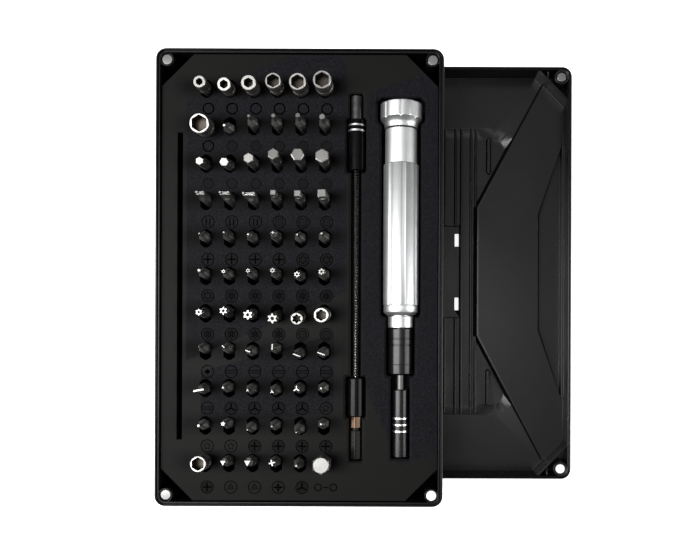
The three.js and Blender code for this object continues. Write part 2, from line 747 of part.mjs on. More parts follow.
const SMALL_KEY_ROW = [
  { kind: 'socket', outer: 7.8, hex: 6 },
  { kind: 'prism', sides: 6, across: 0.7 },
  { kind: 'prism', sides: 6, across: 0.9 },
  { kind: 'prism', sides: 6, across: 1.3 },
  { kind: 'prism', sides: 6, across: 1.5 },
  { kind: 'prism', sides: 6, across: 2 },
];

const LARGE_KEY_ROW = [2.5, 3, 3.5, 4, 4.5, 5].map((across) => ({ kind: 'prism', sides: 6, across }));

const FORK_AND_SQUARE_ROW = [
  { kind: 'fork', width: 3.2 },
  { kind: 'fork', width: 4.2 },
  { kind: 'fork', width: 5.2 },
  { kind: 'prism', sides: 4, across: 2 },
  { kind: 'prism', sides: 4, across: 2.6 },
  { kind: 'prism', sides: 4, across: 3.2 },
];

const STAR_SOCKETS = [
  { kind: 'socket', outer: 4.9, hex: 3 },
  { kind: 'socket', outer: 6.1, hex: 4 },
];

const WIDE_BLADE = [{ kind: 'blade', width: 4 }];

const LAST_ROW = [
  { kind: 'socket', outer: 6.5, hex: 4.5 },
  { kind: 'prism', sides: 3, across: 2.2 },
  { kind: 'prism', sides: 3, across: 2.6 },
  { kind: 'cross', width: 2.8 },
  { kind: 'wing', width: 2.2 },
  { kind: 'adaptor', across: 6.35 },
];

const MODELLED_BITS = [
  { name: 'nut_socket', row: 0, firstColumn: 0, bits: SOCKET_ROW },
  { name: 'small_key', row: 1, firstColumn: 0, bits: SMALL_KEY_ROW },
  { name: 'large_key', row: 2, firstColumn: 0, bits: LARGE_KEY_ROW },
  { name: 'fork_square', row: 3, firstColumn: 0, bits: FORK_AND_SQUARE_ROW },
  { name: 'star_socket', row: 6, firstColumn: 4, bits: STAR_SOCKETS },
  { name: 'wide_blade', row: 8, firstColumn: 0, bits: WIDE_BLADE },
  { name: 'last_row', row: 10, firstColumn: 0, bits: LAST_ROW },
];

// How far each bit leans in its well, in degrees towards the cap end of the driver. One line per row of wells,
// from the back row to the front row.
const LEANS = [
  [-1, -4, -2, 0.5, -0.5, 2],
  [-4.5, -6.5, 5.5, 6, 6.5, 5],
  [-3, -4, 1, 6.5, 6, 4.5],
  [6.5, 6.5, 5.5, 6.5, 5.5, 6],
  [3, 4.5, 2, 4.5, 2, 3.5],
  [5, 4, 5, 5.5, 0.5, 4],
  [1, 3, -2, -6.5, -6.5, -2],
  [6.5, 6.5, 1, 6.5, -4, -2],
  [0, 3.5, 0, -1.5, 2, 3],
  [4, 6.5, -1, 3.5, -4, 6.5],
  [4.5, 6.5, 6.5, 6, 2.5, 3],
];

const SHOULDER = 21.2;
const NECK = 23.6;

function bitShank(topRadius, top) {
  const r = hexRadius(BIT_ACROSS_FLATS);
  const profile = [[0, 0], [r - 0.5, 0], [r, 0.6], [r, SHOULDER], [topRadius, NECK], [topRadius, top], [0, top]];
  const lathe = new THREE.LatheGeometry(profile.map(([x, y]) => new THREE.Vector2(x, y)), 6);
  lathe.rotateX(Math.PI / 2);
  return solidOf(lathe);
}

function bladePair(width, thickness, count, low, high) {
  const blades = [];
  for (let index = 0; index < count; index += 1) {
    const blade = new THREE.BoxGeometry(width / 2 + thickness / 2, thickness, high - low);
    blade.translate(width / 4 - thickness / 4, 0, (low + high) / 2);
    blade.rotateZ((index / count) * 2 * Math.PI + Math.PI / 2);
    blades.push(solidOf(blade));
  }
  return joined(blades);
}

function bitSolid(bit) {
  const top = BIT_LENGTH;
  if (bit.kind === 'socket') {
    const shank = bitShank(hexRadius(BIT_ACROSS_FLATS), SHOULDER);
    const sleeve = frustum(SMALL_SEGMENTS, bit.outer / 2, bit.outer / 2, HEAD_BOTTOM, SOCKET_LENGTH);
    const bore = frustum(6, hexRadius(bit.hex), hexRadius(bit.hex), SOCKET_LENGTH - 5, SOCKET_LENGTH + 1);
    return joined([shank, sleeve]).subtract(bore);
  }
  if (bit.kind === 'adaptor') {
    const shank = bitShank(hexRadius(BIT_ACROSS_FLATS), SHOULDER);
    const head = frustum(6, hexRadius(bit.across), hexRadius(bit.across), HEAD_BOTTOM, top - 0.6);
    const chamfer = frustum(6, hexRadius(bit.across), hexRadius(bit.across) - 0.6, top - 0.6, top);
    return joined([shank, head, chamfer]);
  }
  if (bit.kind === 'prism') {
    const radius = bit.across / 2 / Math.cos(Math.PI / bit.sides);
    const neckRadius = Math.min(Math.max(radius, 0.8), 2.2);
    const tip = frustum(bit.sides, radius, radius, NECK - 0.5, top);
    return joined([bitShank(neckRadius, NECK + 0.4), tip]);
  }
  if (bit.kind === 'fork') {
    const half = bit.width / 2;
    const plate = box([-half, -0.5, NECK - 0.6], [half, 0.5, top]);
    const notch = box([-half / 2, -1, top - 1.6], [half / 2, 1, top + 1]);
    return joined([bitShank(1.3, NECK + 0.4), plate.subtract(notch)]);
  }
  if (bit.kind === 'blade') {
    const half = bit.width / 2;
    return joined([bitShank(1.6, NECK + 0.4), box([-half, -0.4, NECK - 0.6], [half, 0.4, top])]);
  }
  const count = bit.kind === 'cross' ? 4 : 3;
  return joined([bitShank(1.2, NECK + 1.5), bladePair(bit.width, 0.5, count, NECK, top)]);
}

function bitMeshes() {
  const meshes = [];
  for (const { name, row, firstColumn, bits } of MODELLED_BITS) {
    bits.forEach((bit, index) => {
      const column = firstColumn + index;
      const [x, y] = bitPlace(column, row);
      const holder = new THREE.Group();
      holder.position.set(x, y, DECK_TOP - BIT_PIVOT_DEPTH);
      holder.rotation.x = -THREE.MathUtils.degToRad(LEANS[row][column]);
      const mesh = part(`bit_${name}_${index + 1}`, bitSolid(bit), DARK_STEEL);
      mesh.position.z = BIT_PIVOT_DEPTH - BIT_SUNK;
      holder.add(mesh);
      meshes.push(holder);
    });
  }
  return meshes;
}

// ---------- assembly ----------

const lid = new THREE.Group();
lid.position.set(LID_SHIFT[0] / 2, LID_SHIFT[1] / 2, 0);
lid.add(part('lid_shell', lidShell(), BLACK_PLASTIC), ...magnets('lid', LID_HEIGHT));

const screwdriver = new THREE.Group();
screwdriver.position.set(DRIVER_X, 0, DRIVER_Z);
screwdriver.add(
  part('driver_cap', driverCap(), ALUMINIUM),
  part('cap_bearing', capBearing(), STEEL),
  part('cap_axle', capAxle(), STEEL),
  part('driver_handle', driverHandle(), ALUMINIUM),
  part('driver_nose', driverNose(), ALUMINIUM),
  part('driver_chuck', driverChuck(), BLACK_METAL),
  part('chuck_magnet', chuckMagnet(), NICKEL),
  part('extension_shank', extensionShank(), DARK_STEEL),
  part('extension_sleeve', extensionSleeve(), BLACK_METAL),
  part('extension_magnet', extensionMagnet(), NICKEL),
);

const flexibleShaft = new THREE.Group();
flexibleShaft.position.set(SHAFT_X, 0, SHAFT_Z);
flexibleShaft.add(
  part('shaft_socket', shaftSocket(), BLACK_METAL),
  part('shaft_sheath', shaftSheath(), BLACK_METAL),
  part('shaft_core', shaftCore(), STEEL),
  part('shaft_ferrule', shaftFerrule(), BLACK_METAL),
  part('shaft_drive', shaftDrive(), STEEL),
);

const tray = new THREE.Group();
tray.position.set(-LID_SHIFT[0] / 2, -LID_SHIFT[1] / 2, LID_HEIGHT + FIT_GAP);
tray.add(
  part('tray_shell', trayShell(), BLACK_PLASTIC),
  part('bit_insert', bitInsert(), DECK_PLASTIC),
  part('tool_insert', toolInsert(), DECK_PLASTIC),
  ...magnets('tray', TRAY_HEIGHT),
  screwdriver,
  flexibleShaft,
  ...bitMeshes(),
);

const group = new THREE.Group();
group.add(lid, tray);

export default group;
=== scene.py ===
import math
import bpy
from mathutils import Matrix, Vector


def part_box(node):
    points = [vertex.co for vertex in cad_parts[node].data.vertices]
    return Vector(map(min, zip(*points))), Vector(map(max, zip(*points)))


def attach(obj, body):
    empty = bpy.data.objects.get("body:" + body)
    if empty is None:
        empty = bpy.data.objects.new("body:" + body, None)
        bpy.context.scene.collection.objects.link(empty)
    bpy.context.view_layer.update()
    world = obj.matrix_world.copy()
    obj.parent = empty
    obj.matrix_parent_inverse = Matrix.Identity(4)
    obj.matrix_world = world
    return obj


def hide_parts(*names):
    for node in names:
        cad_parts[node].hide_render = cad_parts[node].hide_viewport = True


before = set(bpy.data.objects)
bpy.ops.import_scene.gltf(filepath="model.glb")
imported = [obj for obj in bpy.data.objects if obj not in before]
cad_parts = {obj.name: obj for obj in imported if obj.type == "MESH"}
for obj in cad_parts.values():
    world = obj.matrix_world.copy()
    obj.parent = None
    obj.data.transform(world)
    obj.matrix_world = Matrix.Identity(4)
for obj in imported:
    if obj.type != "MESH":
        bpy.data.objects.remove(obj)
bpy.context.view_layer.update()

MM = 0.001
TAU = 2 * math.pi

# ---------- places, worked out from the frame ----------


def middle(node):
    low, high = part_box(node)
    return (low + high) / 2


TRAY_LOW, TRAY_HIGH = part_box("tray_shell")
TRAY = Vector(((TRAY_LOW.x + TRAY_HIGH.x) / 2, (TRAY_LOW.y + TRAY_HIGH.y) / 2, TRAY_LOW.z))
RIM_Z = TRAY_HIGH.z
DECK_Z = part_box("bit_insert")[1].z
DRIVER = middle("driver_handle")
SHAFT = middle("shaft_sheath")

# ---------- sizes, in millimetres ----------

COLUMNS = 6
ROWS = 11
FIRST_WELL = (-38.1, 76.7)
WELL_PITCH = (9.65, 15.22)
PIVOT_DEPTH = 9.5
BIT_SUNK = 19
BIT_TOP = 27.5
SOCKET_TOP = 28
SOCKET_FOOT = 20.0
SHANK_FLAT = 2.0  # half of the distance across the shank's flats
# How far each bit leans in its well, in degrees towards the cap end of the driver
LEANS = (
    (-1, -4, -2, 0.5, -0.5, 2),
    (-4.5, -6.5, 5.5, 6, 6.5, 5),
    (-3, -4, 1, 6.5, 6, 4.5),
    (6.5, 6.5, 5.5, 6.5, 5.5, 6),
    (3, 4.5, 2, 4.5, 2, 3.5),
    (5, 4, 5, 5.5, 0.5, 4),
    (1, 3, -2, -6.5, -6.5, -2),
    (6.5, 6.5, 1, 6.5, -4, -2),
    (0, 3.5, 0, -1.5, 2, 3),
    (4, 6.5, -1, 3.5, -4, 6.5),
    (4.5, 6.5, 6.5, 6, 2.5, 3),
)
DECK_THICKNESS = 2
SEAM_X = 17.6  # where the deck's two CAD nodes meet
SEAM_FILL = (-0.35, 0.25)  # how far the strip that closes the seam reaches on either side of it
PICTOGRAM_RADIUS = 2.65
PICTOGRAM_LINE = 0.32
PICTOGRAM_BELOW = (8.1, 8.1, 8.1, 8.5, 8.5, 8.1, 8.5, 8.5, 8.1, 8.3, 9.8)
PICTOGRAM_HEIGHT = 0.03
PICTOGRAM_FOOT = 0.02  # how deep the pictograms reach into the deck

# ---------- materials ----------


def shader(name):
    material = bpy.data.materials.new(name)
    material.use_nodes = True
    tree = material.node_tree
    principled = tree.nodes["Principled BSDF"]
    return material, tree, principled


def object_position(tree):
    return tree.nodes.new("ShaderNodeTexCoord").outputs["Object"]


def noise(tree, scale, detail=2.0, roughness=0.5):
    node = tree.nodes.new("ShaderNodeTexNoise")
    node.inputs["Scale"].default_value = scale
    node.inputs["Detail"].default_value = detail
    node.inputs["Roughness"].default_value = roughness
    tree.links.new(object_position(tree), node.inputs["Vector"])
    return node.outputs["Fac"]


def math_node(tree, operation, *values):
    node = tree.nodes.new("ShaderNodeMath")
    node.operation = operation
    for socket, value in zip(node.inputs, values):
        if isinstance(value, (int, float)):
            socket.default_value = value
        else:
            tree.links.new(value, socket)
    return node.outputs[0]


def remap(tree, value, low, high, new_low, new_high):
    node = tree.nodes.new("ShaderNodeMapRange")
    tree.links.new(value, node.inputs["Value"])
    for name, number in (("From Min", low), ("From Max", high), ("To Min", new_low), ("To Max", new_high)):
        node.inputs[name].default_value = number
    return node.outputs["Result"]


def colour_between(tree, factor, first, second):
    node = tree.nodes.new("ShaderNodeMix")
    node.data_type = "RGBA"
    tree.links.new(factor, node.inputs[0])
    node.inputs[6].default_value = (*first, 1)
    node.inputs[7].default_value = (*second, 1)
    return node.outputs[2]


def bump(tree, principled, height, strength, distance):
    node = tree.nodes.new("ShaderNodeBump")
    node.inputs["Strength"].default_value = strength
    node.inputs["Distance"].default_value = distance
    tree.links.new(height, node.inputs["Height"])
    tree.links.new(node.outputs["Normal"], principled.inputs["Normal"])


def plastic(name, dark, light, rough, grain_scale, grain, specular=0.35):
    """Moulded black plastic: slow tone variation, fine spark-eroded grain and a satin gloss that varies."""
    material, tree, principled = shader(name)
    slow = noise(tree, 35, 3)
    fine = noise(tree, grain_scale, 2, 0.6)
    tone = math_node(tree, "MULTIPLY_ADD", slow, 0.7)
    tree.links.new(colour_between(tree, tone, dark, light), principled.inputs["Base Color"])
    tree.links.new(remap(tree, slow, 0.3, 0.7, rough - 0.04, rough + 0.05), principled.inputs["Roughness"])
    principled.inputs["Specular IOR Level"].default_value = specular
    bump(tree, principled, fine, grain, 0.00006)
    return material


def deck_plastic():
    """The deck: smooth satin fields, grained fields bounded by straight lines, and painted shade along the
    rows of wells.
    """
    material, tree, principled = shader("deck_moulding")
    place = tree.nodes.new("ShaderNodeSeparateXYZ")
    tree.links.new(object_position(tree), place.inputs[0])

    def beyond(x0, y0, x1, y1, blur=0.15):
        """1 on the left of the line from the first point to the second, in tray millimetres."""
        nx, ny = -(y1 - y0), x1 - x0
        length = math.hypot(nx, ny)
        nx, ny = nx / length, ny / length
        offset = nx * (TRAY.x / MM + x0) + ny * (TRAY.y / MM + y0)
        along_x = math_node(tree, "MULTIPLY", place.outputs["X"], nx / MM)
        along_y = math_node(tree, "MULTIPLY", place.outputs["Y"], ny / MM)
        distance = math_node(tree, "SUBTRACT", math_node(tree, "ADD", along_x, along_y), offset)
        return remap_clamped(distance, -blur, blur)

    def remap_clamped(value, low, high):
        return remap(tree, value, low, high, 0.0, 1.0)

    def all_of(masks):
        result = masks[0]
        for mask in masks[1:]:
            result = math_node(tree, "MULTIPLY", result, mask)
        return result

    def any_of(masks):
        result = masks[0]
        for mask in masks[1:]:
            result = math_node(tree, "MAXIMUM", result, mask)
        return result

    def row_shade():
        """Painted shade cast by the bits: 1 along the rows of wells, where the deck is darkest, and 0 half
        way between them.
        """
        first = (TRAY.y / MM + FIRST_WELL[1] + 0.8) * MM
        from_first = math_node(tree, "SUBTRACT", place.outputs["Y"], first)
        steps = math_node(tree, "MULTIPLY", from_first, 1 / (WELL_PITCH[1] * MM))
        phase = math_node(tree, "FRACT", math_node(tree, "ADD", steps, 0.5))
        away = math_node(tree, "ABSOLUTE", math_node(tree, "SUBTRACT", phase, 0.5))
        band = remap(tree, away, 0.08, 0.36, 0.9, 0.0)
        limits = ((-49, 100, -49, -120), (18, -120, 18, 100), (60, 85, -60, 85), (-60, -84, 60, -84))
        among = all_of([beyond(*limit, 3) for limit in limits])
        return math_node(tree, "MULTIPLY", band, among)

    field_masks = [all_of([beyond(*line) for line in field]) for field in GRAINED_FIELDS]
    grained = any_of(field_masks)
    slow = noise(tree, 28, 2)
    sparkle = noise(tree, 2600, 2, 0.7)
    fine = noise(tree, 900, 3, 0.6)
    smooth_tone = colour_between(tree, slow, (0.0045, 0.0046, 0.0042), (0.0068, 0.007, 0.0064))
    speck = remap(tree, sparkle, 0.42, 0.75, 0.0, 1.0)
    grain_tone = colour_between(tree, speck, (0.0018, 0.0018, 0.0024), (0.0145, 0.0145, 0.0185))
    mix = tree.nodes.new("ShaderNodeMix")
    mix.data_type = "RGBA"
    tree.links.new(grained, mix.inputs[0])
    tree.links.new(smooth_tone, mix.inputs[6])
    tree.links.new(grain_tone, mix.inputs[7])
    # Painted shade: along the rows of bits the deck's colour is pulled towards near-black, standing for the
    # shadows the bits cast.
    painted_row_shade_mix = tree.nodes.new("ShaderNodeMix")
    painted_row_shade_mix.data_type = "RGBA"
    tree.links.new(row_shade(), painted_row_shade_mix.inputs[0])
    tree.links.new(mix.outputs[2], painted_row_shade_mix.inputs[6])
    painted_row_shade_mix.inputs[7].default_value = (0.0007, 0.0007, 0.0008, 1)
    tree.links.new(painted_row_shade_mix.outputs[2], principled.inputs["Base Color"])
    rough = math_node(tree, "MULTIPLY_ADD", grained, 0.12, 0.5)
    tree.links.new(rough, principled.inputs["Roughness"])
    principled.inputs["Specular IOR Level"].default_value = 0.05
    grain_height = math_node(tree, "MULTIPLY", fine, math_node(tree, "ADD", grained, 0.15))
    bump(tree, principled, grain_height, 0.25, 0.0001)
    return material


# Grained fields of the deck, in tray millimetres. Each is the overlap of half planes, and each half plane
# is the left side of a line given as x0, y0, x1, y1.
GRAINED_FIELDS = (
    # round the screwdriver
    (
        (25.3, 100, 25.3, -120),
        (50, 83, 29, 76),
        (29, 76, 26, 60),
        (27.5, -46, 41, -76.4),
        (41, -76.4, 60, -70),
    ),
    # across the rows of bits
    ((-46, 100, -46, -120), (19, -120, 19, 120), (60, 118, -60, 66), (-60, -40, 60, 12)),
    ((-40, 100, -40, -120), (14, -120, 14, 120), (60, -10, -60, -44), (-60, -62, 60, -50)),
)


def metal(name, colour, rough, variation, streak, bump_strength, metallic=1.0, specular=0.5):
    """Metal with fine machining streaks: the streak vector stretches the noise one way."""
    material, tree, principled = shader(name)
    mapping = tree.nodes.new("ShaderNodeMapping")
    mapping.inputs["Scale"].default_value = streak
    tree.links.new(object_position(tree), mapping.inputs["Vector"])
    lines = tree.nodes.new("ShaderNodeTexNoise")
    lines.inputs["Scale"].default_value = 1.0
    lines.inputs["Detail"].default_value = 3.0
    tree.links.new(mapping.outputs["Vector"], lines.inputs["Vector"])
    slow = noise(tree, 120, 2)
    second = tuple(channel * 0.9 for channel in colour)
    tree.links.new(colour_between(tree, slow, colour, second), principled.inputs["Base Color"])
    wobble = remap(tree, lines.outputs["Fac"], 0.3, 0.7, rough - variation, rough + variation)
    tree.links.new(wobble, principled.inputs["Roughness"])
    principled.inputs["Metallic"].default_value = metallic
    principled.inputs["Specular IOR Level"].default_value = specular
    bump(tree, principled, lines.outputs["Fac"], bump_strength, 0.00002)
    return material


CASE_PLASTIC = plastic(
    "case_moulding", (0.0018, 0.0018, 0.0019), (0.0032, 0.0032, 0.0033), 0.34, 1500, 0.1, 0.16
)
LID_PLASTIC = plastic(
    "lid_moulding", (0.0022, 0.0022, 0.0022), (0.0042, 0.0042, 0.0042), 0.27, 1200, 0.03, 0.26
)
DECK_PLASTIC = deck_plastic()
PRINT_FILL = plastic(
    "pictogram_fill", (0.0014, 0.0014, 0.0014), (0.0024, 0.0024, 0.0024), 0.6, 900, 0.05, 0.06
)
# Painted shade: the pictograms' lines are engraved grooves in the moulding, drawn as flat near-black prisms
# whose colour stands for the shade in the grooves.
PICTOGRAM_GROOVE_SHADE = plastic(
    "pictogram_groove_painted_shade", (0.0003, 0.0003, 0.0003), (0.0006, 0.0006, 0.0006), 0.6, 900, 0.05, 0.0
)
ALUMINIUM = metal("satin_aluminium", (0.64, 0.645, 0.65), 0.46, 0.02, (90, 500, 90), 0.01)
TURNED_ALUMINIUM = metal("turned_aluminium", (0.56, 0.565, 0.57), 0.42, 0.02, (60, 800, 60), 0.01)
BLACK_ANODISED = metal("black_anodised", (0.0035, 0.0035, 0.0037), 0.25, 0.02, (60, 900, 60), 0.01, 0.2, 0.35)
SHAFT_BLACK = metal("shaft_black", (0.0012, 0.0012, 0.0013), 0.22, 0.02, (60, 900, 60), 0.01, 0.02, 0.1)
SILVER_RING = metal("silver_ring", (0.72, 0.72, 0.71), 0.3, 0.03, (60, 900, 60), 0.01)
GUNMETAL = metal("gunmetal_shank", (0.125, 0.123, 0.118), 0.45, 0.04, (300, 300, 60), 0.02, 0.75)
KEY_FACE = metal("key_face", (0.24, 0.235, 0.226), 0.42, 0.04, (300, 300, 120), 0.01)
BRIGHT_TIP = metal("bright_tip", (0.34, 0.335, 0.32), 0.42, 0.04, (300, 300, 120), 0.01)
SOCKET_STEEL = metal("socket_steel", (0.40, 0.375, 0.345), 0.4, 0.04, (150, 150, 900), 0.02)
SOCKET_BORE = metal("socket_bore", (0.07, 0.061, 0.051), 0.5, 0.05, (500, 500, 200), 0.02)
COIL_BLACK = metal("coil_black", (0.0022, 0.0022, 0.0024), 0.2, 0.03, (500, 500, 500), 0.02, 0.05, 0.35)
TAIL_BLACK = metal("tail_black", (0.006, 0.0055, 0.005), 0.3, 0.05, (300, 90, 300), 0.02, 0.5, 0.15)
COPPER_STEEL = metal("tinted_steel", (0.06, 0.038, 0.026), 0.25, 0.04, (300, 60, 300), 0.02)
NICKEL = metal("nickel_plate", (0.24, 0.24, 0.235), 0.35, 0.04, (400, 400, 400), 0.04)
# Painted reflection: a near-white nickel that stands for a lamp's reflection in the flat ends of the
# front-right magnets.
NICKEL_PAINTED_REFLECTION = metal("magnet_painted_reflection", (0.93, 0.93, 0.92), 0.5, 0.04, (400, 400, 400), 0.02, 0.3)
NOSE_STEEL = metal("nose_steel", (0.075, 0.075, 0.076), 0.3, 0.04, (90, 500, 90), 0.02, 0.9)
BEARING_STEEL = metal("bearing_steel", (0.66, 0.66, 0.66), 0.25, 0.04, (400, 1500, 400), 0.02)

# ---------- mesh making ----------


def make_object(name, vertices, faces, materials, indices=None, smooth=True):
    mesh = bpy.data.meshes.new(name)
    mesh.from_pydata([tuple(v) for v in vertices], [], faces)
    for material in materials:
        mesh.materials.append(material)
    if indices is not None:
        mesh.polygons.foreach_set("material_index", indices)
    mesh.polygons.foreach_set("use_smooth", [smooth] * len(mesh.polygons))
    mesh.validate()
    mesh.update()
    piece = bpy.data.objects.new(name, mesh)
    bpy.context.scene.collection.objects.link(piece)
    return piece


def smooth_by_angle(piece, degrees=35):
    """Marks the edges that are sharper than this, so that smooth shading keeps them crisp."""
    piece.data.set_sharp_from_angle(angle=math.radians(degrees))


def circle(radius):
    return lambda angle: radius


def regular(sides, apothem, turn=0.0, rounding=0.0):
    """The radius of a regular polygon at an angle; rounding cuts its corners back to a circle."""
    step = TAU / sides

    def radius(angle):
        offset = (angle - turn) % step - step / 2
        plain = apothem / math.cos(offset)
        corner = apothem / math.cos(step / 2)
        return min(plain, corner * (1 - rounding))

    return radius


def lobed(lobes, outer, inner, turn=0.0, sharpness=1.0):
    def radius(angle):
        wave = 0.5 + 0.5 * math.cos(lobes * (angle - turn))
        return inner + (outer - inner) * wave ** sharpness

    return radius


def arms(count, reach, half_thickness, core, turn=math.pi / 2):
    """Blades that meet on the axis: 2 arms make a flat blade, 4 a cross and 3 a Y."""

    def radius(angle):
        best = core
        for index in range(count):
            offset = angle - turn - index * TAU / count
            forward = math.cos(offset)
            if forward <= 0:
                continue
            across = max(abs(math.sin(offset)), 1e-6)
            best = max(best, min(reach / forward, half_thickness / across))
        return best

    return radius


def loft(name, stations, materials, axis="z", origin=(0, 0, 0), count=96, sharp=35):
    """A closed piece through rings. A station is [along, radius or radius function, material index].
    The rings may turn back on themselves, so that a bore runs down inside."""
    vertices = []
    rings = []
    for along, shape, _ in stations:
        radius = circle(shape) if isinstance(shape, (int, float)) else shape
        ring = []
        for index in range(count):
            angle = TAU * index / count
            r = radius(angle)
            if axis == "z":
                point = (r * math.cos(angle), r * math.sin(angle), along)
            else:
                point = (r * math.cos(angle), along, -r * math.sin(angle))
            ring.append(len(vertices))
            vertices.append([(point[k] * MM + origin[k]) for k in range(3)])
        rings.append(ring)
    faces = []
    indices = []
    for (lower, upper), station in zip(zip(rings, rings[1:]), stations[1:]):
        for index in range(count):
            after = (index + 1) % count
            faces.append((lower[index], lower[after], upper[after], upper[index]))
            indices.append(station[2])
    for ring, station, flip in ((rings[0], stations[0], True), (rings[-1], stations[-1], False)):
        centre = len(vertices)
        vertices.append([sum(vertices[i][k] for i in ring) / count for k in range(3)])
        for index in range(count):
            after = (index + 1) % count
            face = (ring[after], ring[index], centre) if flip else (ring[index], ring[after], centre)
            faces.append(face)
            indices.append(station[2])
    piece = make_object(name, vertices, faces, materials, indices)
    smooth_by_angle(piece, sharp)
    return piece


def join(pieces, name):
    """Joins finished meshes into the first one."""
    with bpy.context.temp_override(
        active_object=pieces[0], object=pieces[0], selected_objects=pieces, selected_editable_objects=pieces
    ):
        bpy.ops.object.join()
    pieces[0].name = name
    pieces[0].data.name = name
    return pieces[0]


def place(piece, matrix):
    piece.data.transform(matrix)


# ---------- CAD nodes that are shown as they are ----------


def dress(node, material, bevel=0.0, segments=2, angle=28):
    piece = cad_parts[node]
    piece.data.materials.clear()
    piece.data.materials.append(material)
    if bevel:
        soften(piece, bevel, segments, angle)
    smooth_node(piece)


def soften(piece, bevel, segments, angle):
    weld = piece.modifiers.new("weld", "WELD")
    weld.merge_threshold = 0.000002
    edge = piece.modifiers.new("soft_edges", "BEVEL")
    edge.width = bevel * MM
    edge.segments = segments
    edge.limit_method = "ANGLE"
    edge.angle_limit = math.radians(angle)
    edge.use_clamp_overlap = False
    edge.harden_normals = False
    even = piece.modifiers.new("even_shading", "WEIGHTED_NORMAL")
    even.weight = 100
    even.keep_sharp = True


def smooth_node(piece):
    piece.data.polygons.foreach_set("use_smooth", [True] * len(piece.data.polygons))
    piece.data.update()


def dress_frame():
    dress("lid_shell", LID_PLASTIC, 0.22, 3)
    dress("tray_shell", CASE_PLASTIC, 0.16)
    dress("bit_insert", DECK_PLASTIC)
    dress("tool_insert", DECK_PLASTIC)
    for half in ("lid", "tray"):
        for index in range(1, 5):
            # The front-right magnets take the near-white material, a painted reflection of a lamp in their
            # flat ends.
            front_right = middle(f"{half}_magnet_{index}").x > 0 and middle(f"{half}_magnet_{index}").y < 0
            dress(f"{half}_magnet_{index}", NICKEL_PAINTED_REFLECTION if front_right else NICKEL, 0.22, 3)
    for node in ("cap_bearing", "cap_axle", "shaft_core"):
        dress(node, BEARING_STEEL, 0.1)
    for node in ("chuck_magnet", "extension_magnet"):
        dress(node, NICKEL, 0.1)


def boolean_union(piece, other):
    """Adds the other mesh's solid to the piece's, and removes the other object."""
    step = piece.modifiers.new("union", "BOOLEAN")
    step.operation = "UNION"
    step.solver = "EXACT"
    step.object = other
    bpy.context.view_layer.update()
    evaluated = piece.evaluated_get(bpy.context.evaluated_depsgraph_get())
    merged = bpy.data.meshes.new_from_object(evaluated)
    piece.modifiers.clear()
    piece.data = merged
    bpy.data.objects.remove(other)


def make_deck():
    """The deck is one moulding, and its CAD is two nodes. This closes the seam between them."""
    halves = []
    for node in ("bit_insert", "tool_insert"):
        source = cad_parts[node]
        mesh = source.data.copy()
        mesh.transform(source.matrix_world)
        half = bpy.data.objects.new(f"deck_half_{node}", mesh)
        bpy.context.scene.collection.objects.link(half)
        halves.append(half)
    low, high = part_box("bit_insert")
    sides = [TRAY.x + (SEAM_X + reach) * MM for reach in SEAM_FILL]
    bottom = DECK_Z - DECK_THICKNESS * MM
    corners = [(x, y, z) for x in sides for y in (low.y, high.y) for z in (bottom, DECK_Z)]
    faces = [(0, 1, 3, 2), (4, 6, 7, 5), (0, 4, 5, 1), (2, 3, 7, 6), (0, 2, 6, 4), (1, 5, 7, 3)]
    filler = make_object("deck_filler", corners, faces, [DECK_PLASTIC], smooth=False)
    deck = halves[0]
    boolean_union(deck, filler)
    boolean_union(deck, halves[1])
    deck.name = "deck"
    deck.data.name = "deck"
    deck.data.materials.clear()
    deck.data.materials.append(DECK_PLASTIC)
    deck.data.polygons.foreach_set("material_index", [0] * len(deck.data.polygons))
    soften(deck, 0.12, 2, 28)
    smooth_node(deck)
    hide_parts("bit_insert", "tool_insert")
    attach(deck, "tray")


# ---------- bits ----------

SHANK, TIP, BORE = 0, 1, 2
BIT_MATERIALS = (GUNMETAL, BRIGHT_TIP, SOCKET_BORE, KEY_FACE)
FACE = 3
SOCKET_MATERIALS = (SOCKET_STEEL, BRIGHT_TIP, SOCKET_BORE, GUNMETAL)
SOCKET_SHANK = 3

HEX_TURN = math.pi / 2  # shanks have two corners along Y


def hexagon(apothem, rounding=0.0):
    return regular(6, apothem, HEX_TURN, rounding)


def shank_stations(neck, neck_at, shoulder=21.2):
    """The hexagonal shank, its turned shoulder and the cone down to the neck."""
    return [
        [0.0, hexagon(SHANK_FLAT - 0.45), SHANK],
        [0.6, hexagon(SHANK_FLAT, 0.03), SHANK],
        [shoulder, hexagon(SHANK_FLAT, 0.03), SHANK],
        [shoulder + 0.35, hexagon(SHANK_FLAT - 0.18, 0.05), SHANK],
        [neck_at, neck, SHANK],
    ]


def solid_tip(shape, start, top, chamfer=0.12, shrink=0.9, face=TIP):
    """A straight tip with a small chamfer round its end."""
    return [
        [start, shape, SHANK],
        [top - chamfer, shape, SHANK],
        [top - 0.02, lambda angle: shape(angle) * shrink, TIP],
        [top, lambda angle: shape(angle) * shrink * 0.98, face],
    ]


def bored_tip(shape, hole, start, top, depth):
    """A tip with a pin hole down its axis."""
    return [
        [start, shape, SHANK],
        [top - 0.1, shape, SHANK],
        [top, lambda angle: shape(angle) * 0.94, TIP],
        [top, hole, TIP],
        [top - depth, hole, BORE],
    ]


def key_bit(across, sides=6, turn=HEX_TURN, top=BIT_TOP):
    """A key with flat sides on a neck that is only as wide as the key."""
    shape = regular(sides, across / 2, turn, 0.02)
    corner = across / 2 / math.cos(math.pi / sides)
    neck = min(max(corner * 0.95, 0.55), 2.1)
    stations = shank_stations(neck, 23.4)
    stations += [[25.0, neck, SHANK], [25.2, shape, SHANK]]
    return stations + solid_tip(shape, 25.7, top, 0.15, 0.86, FACE)


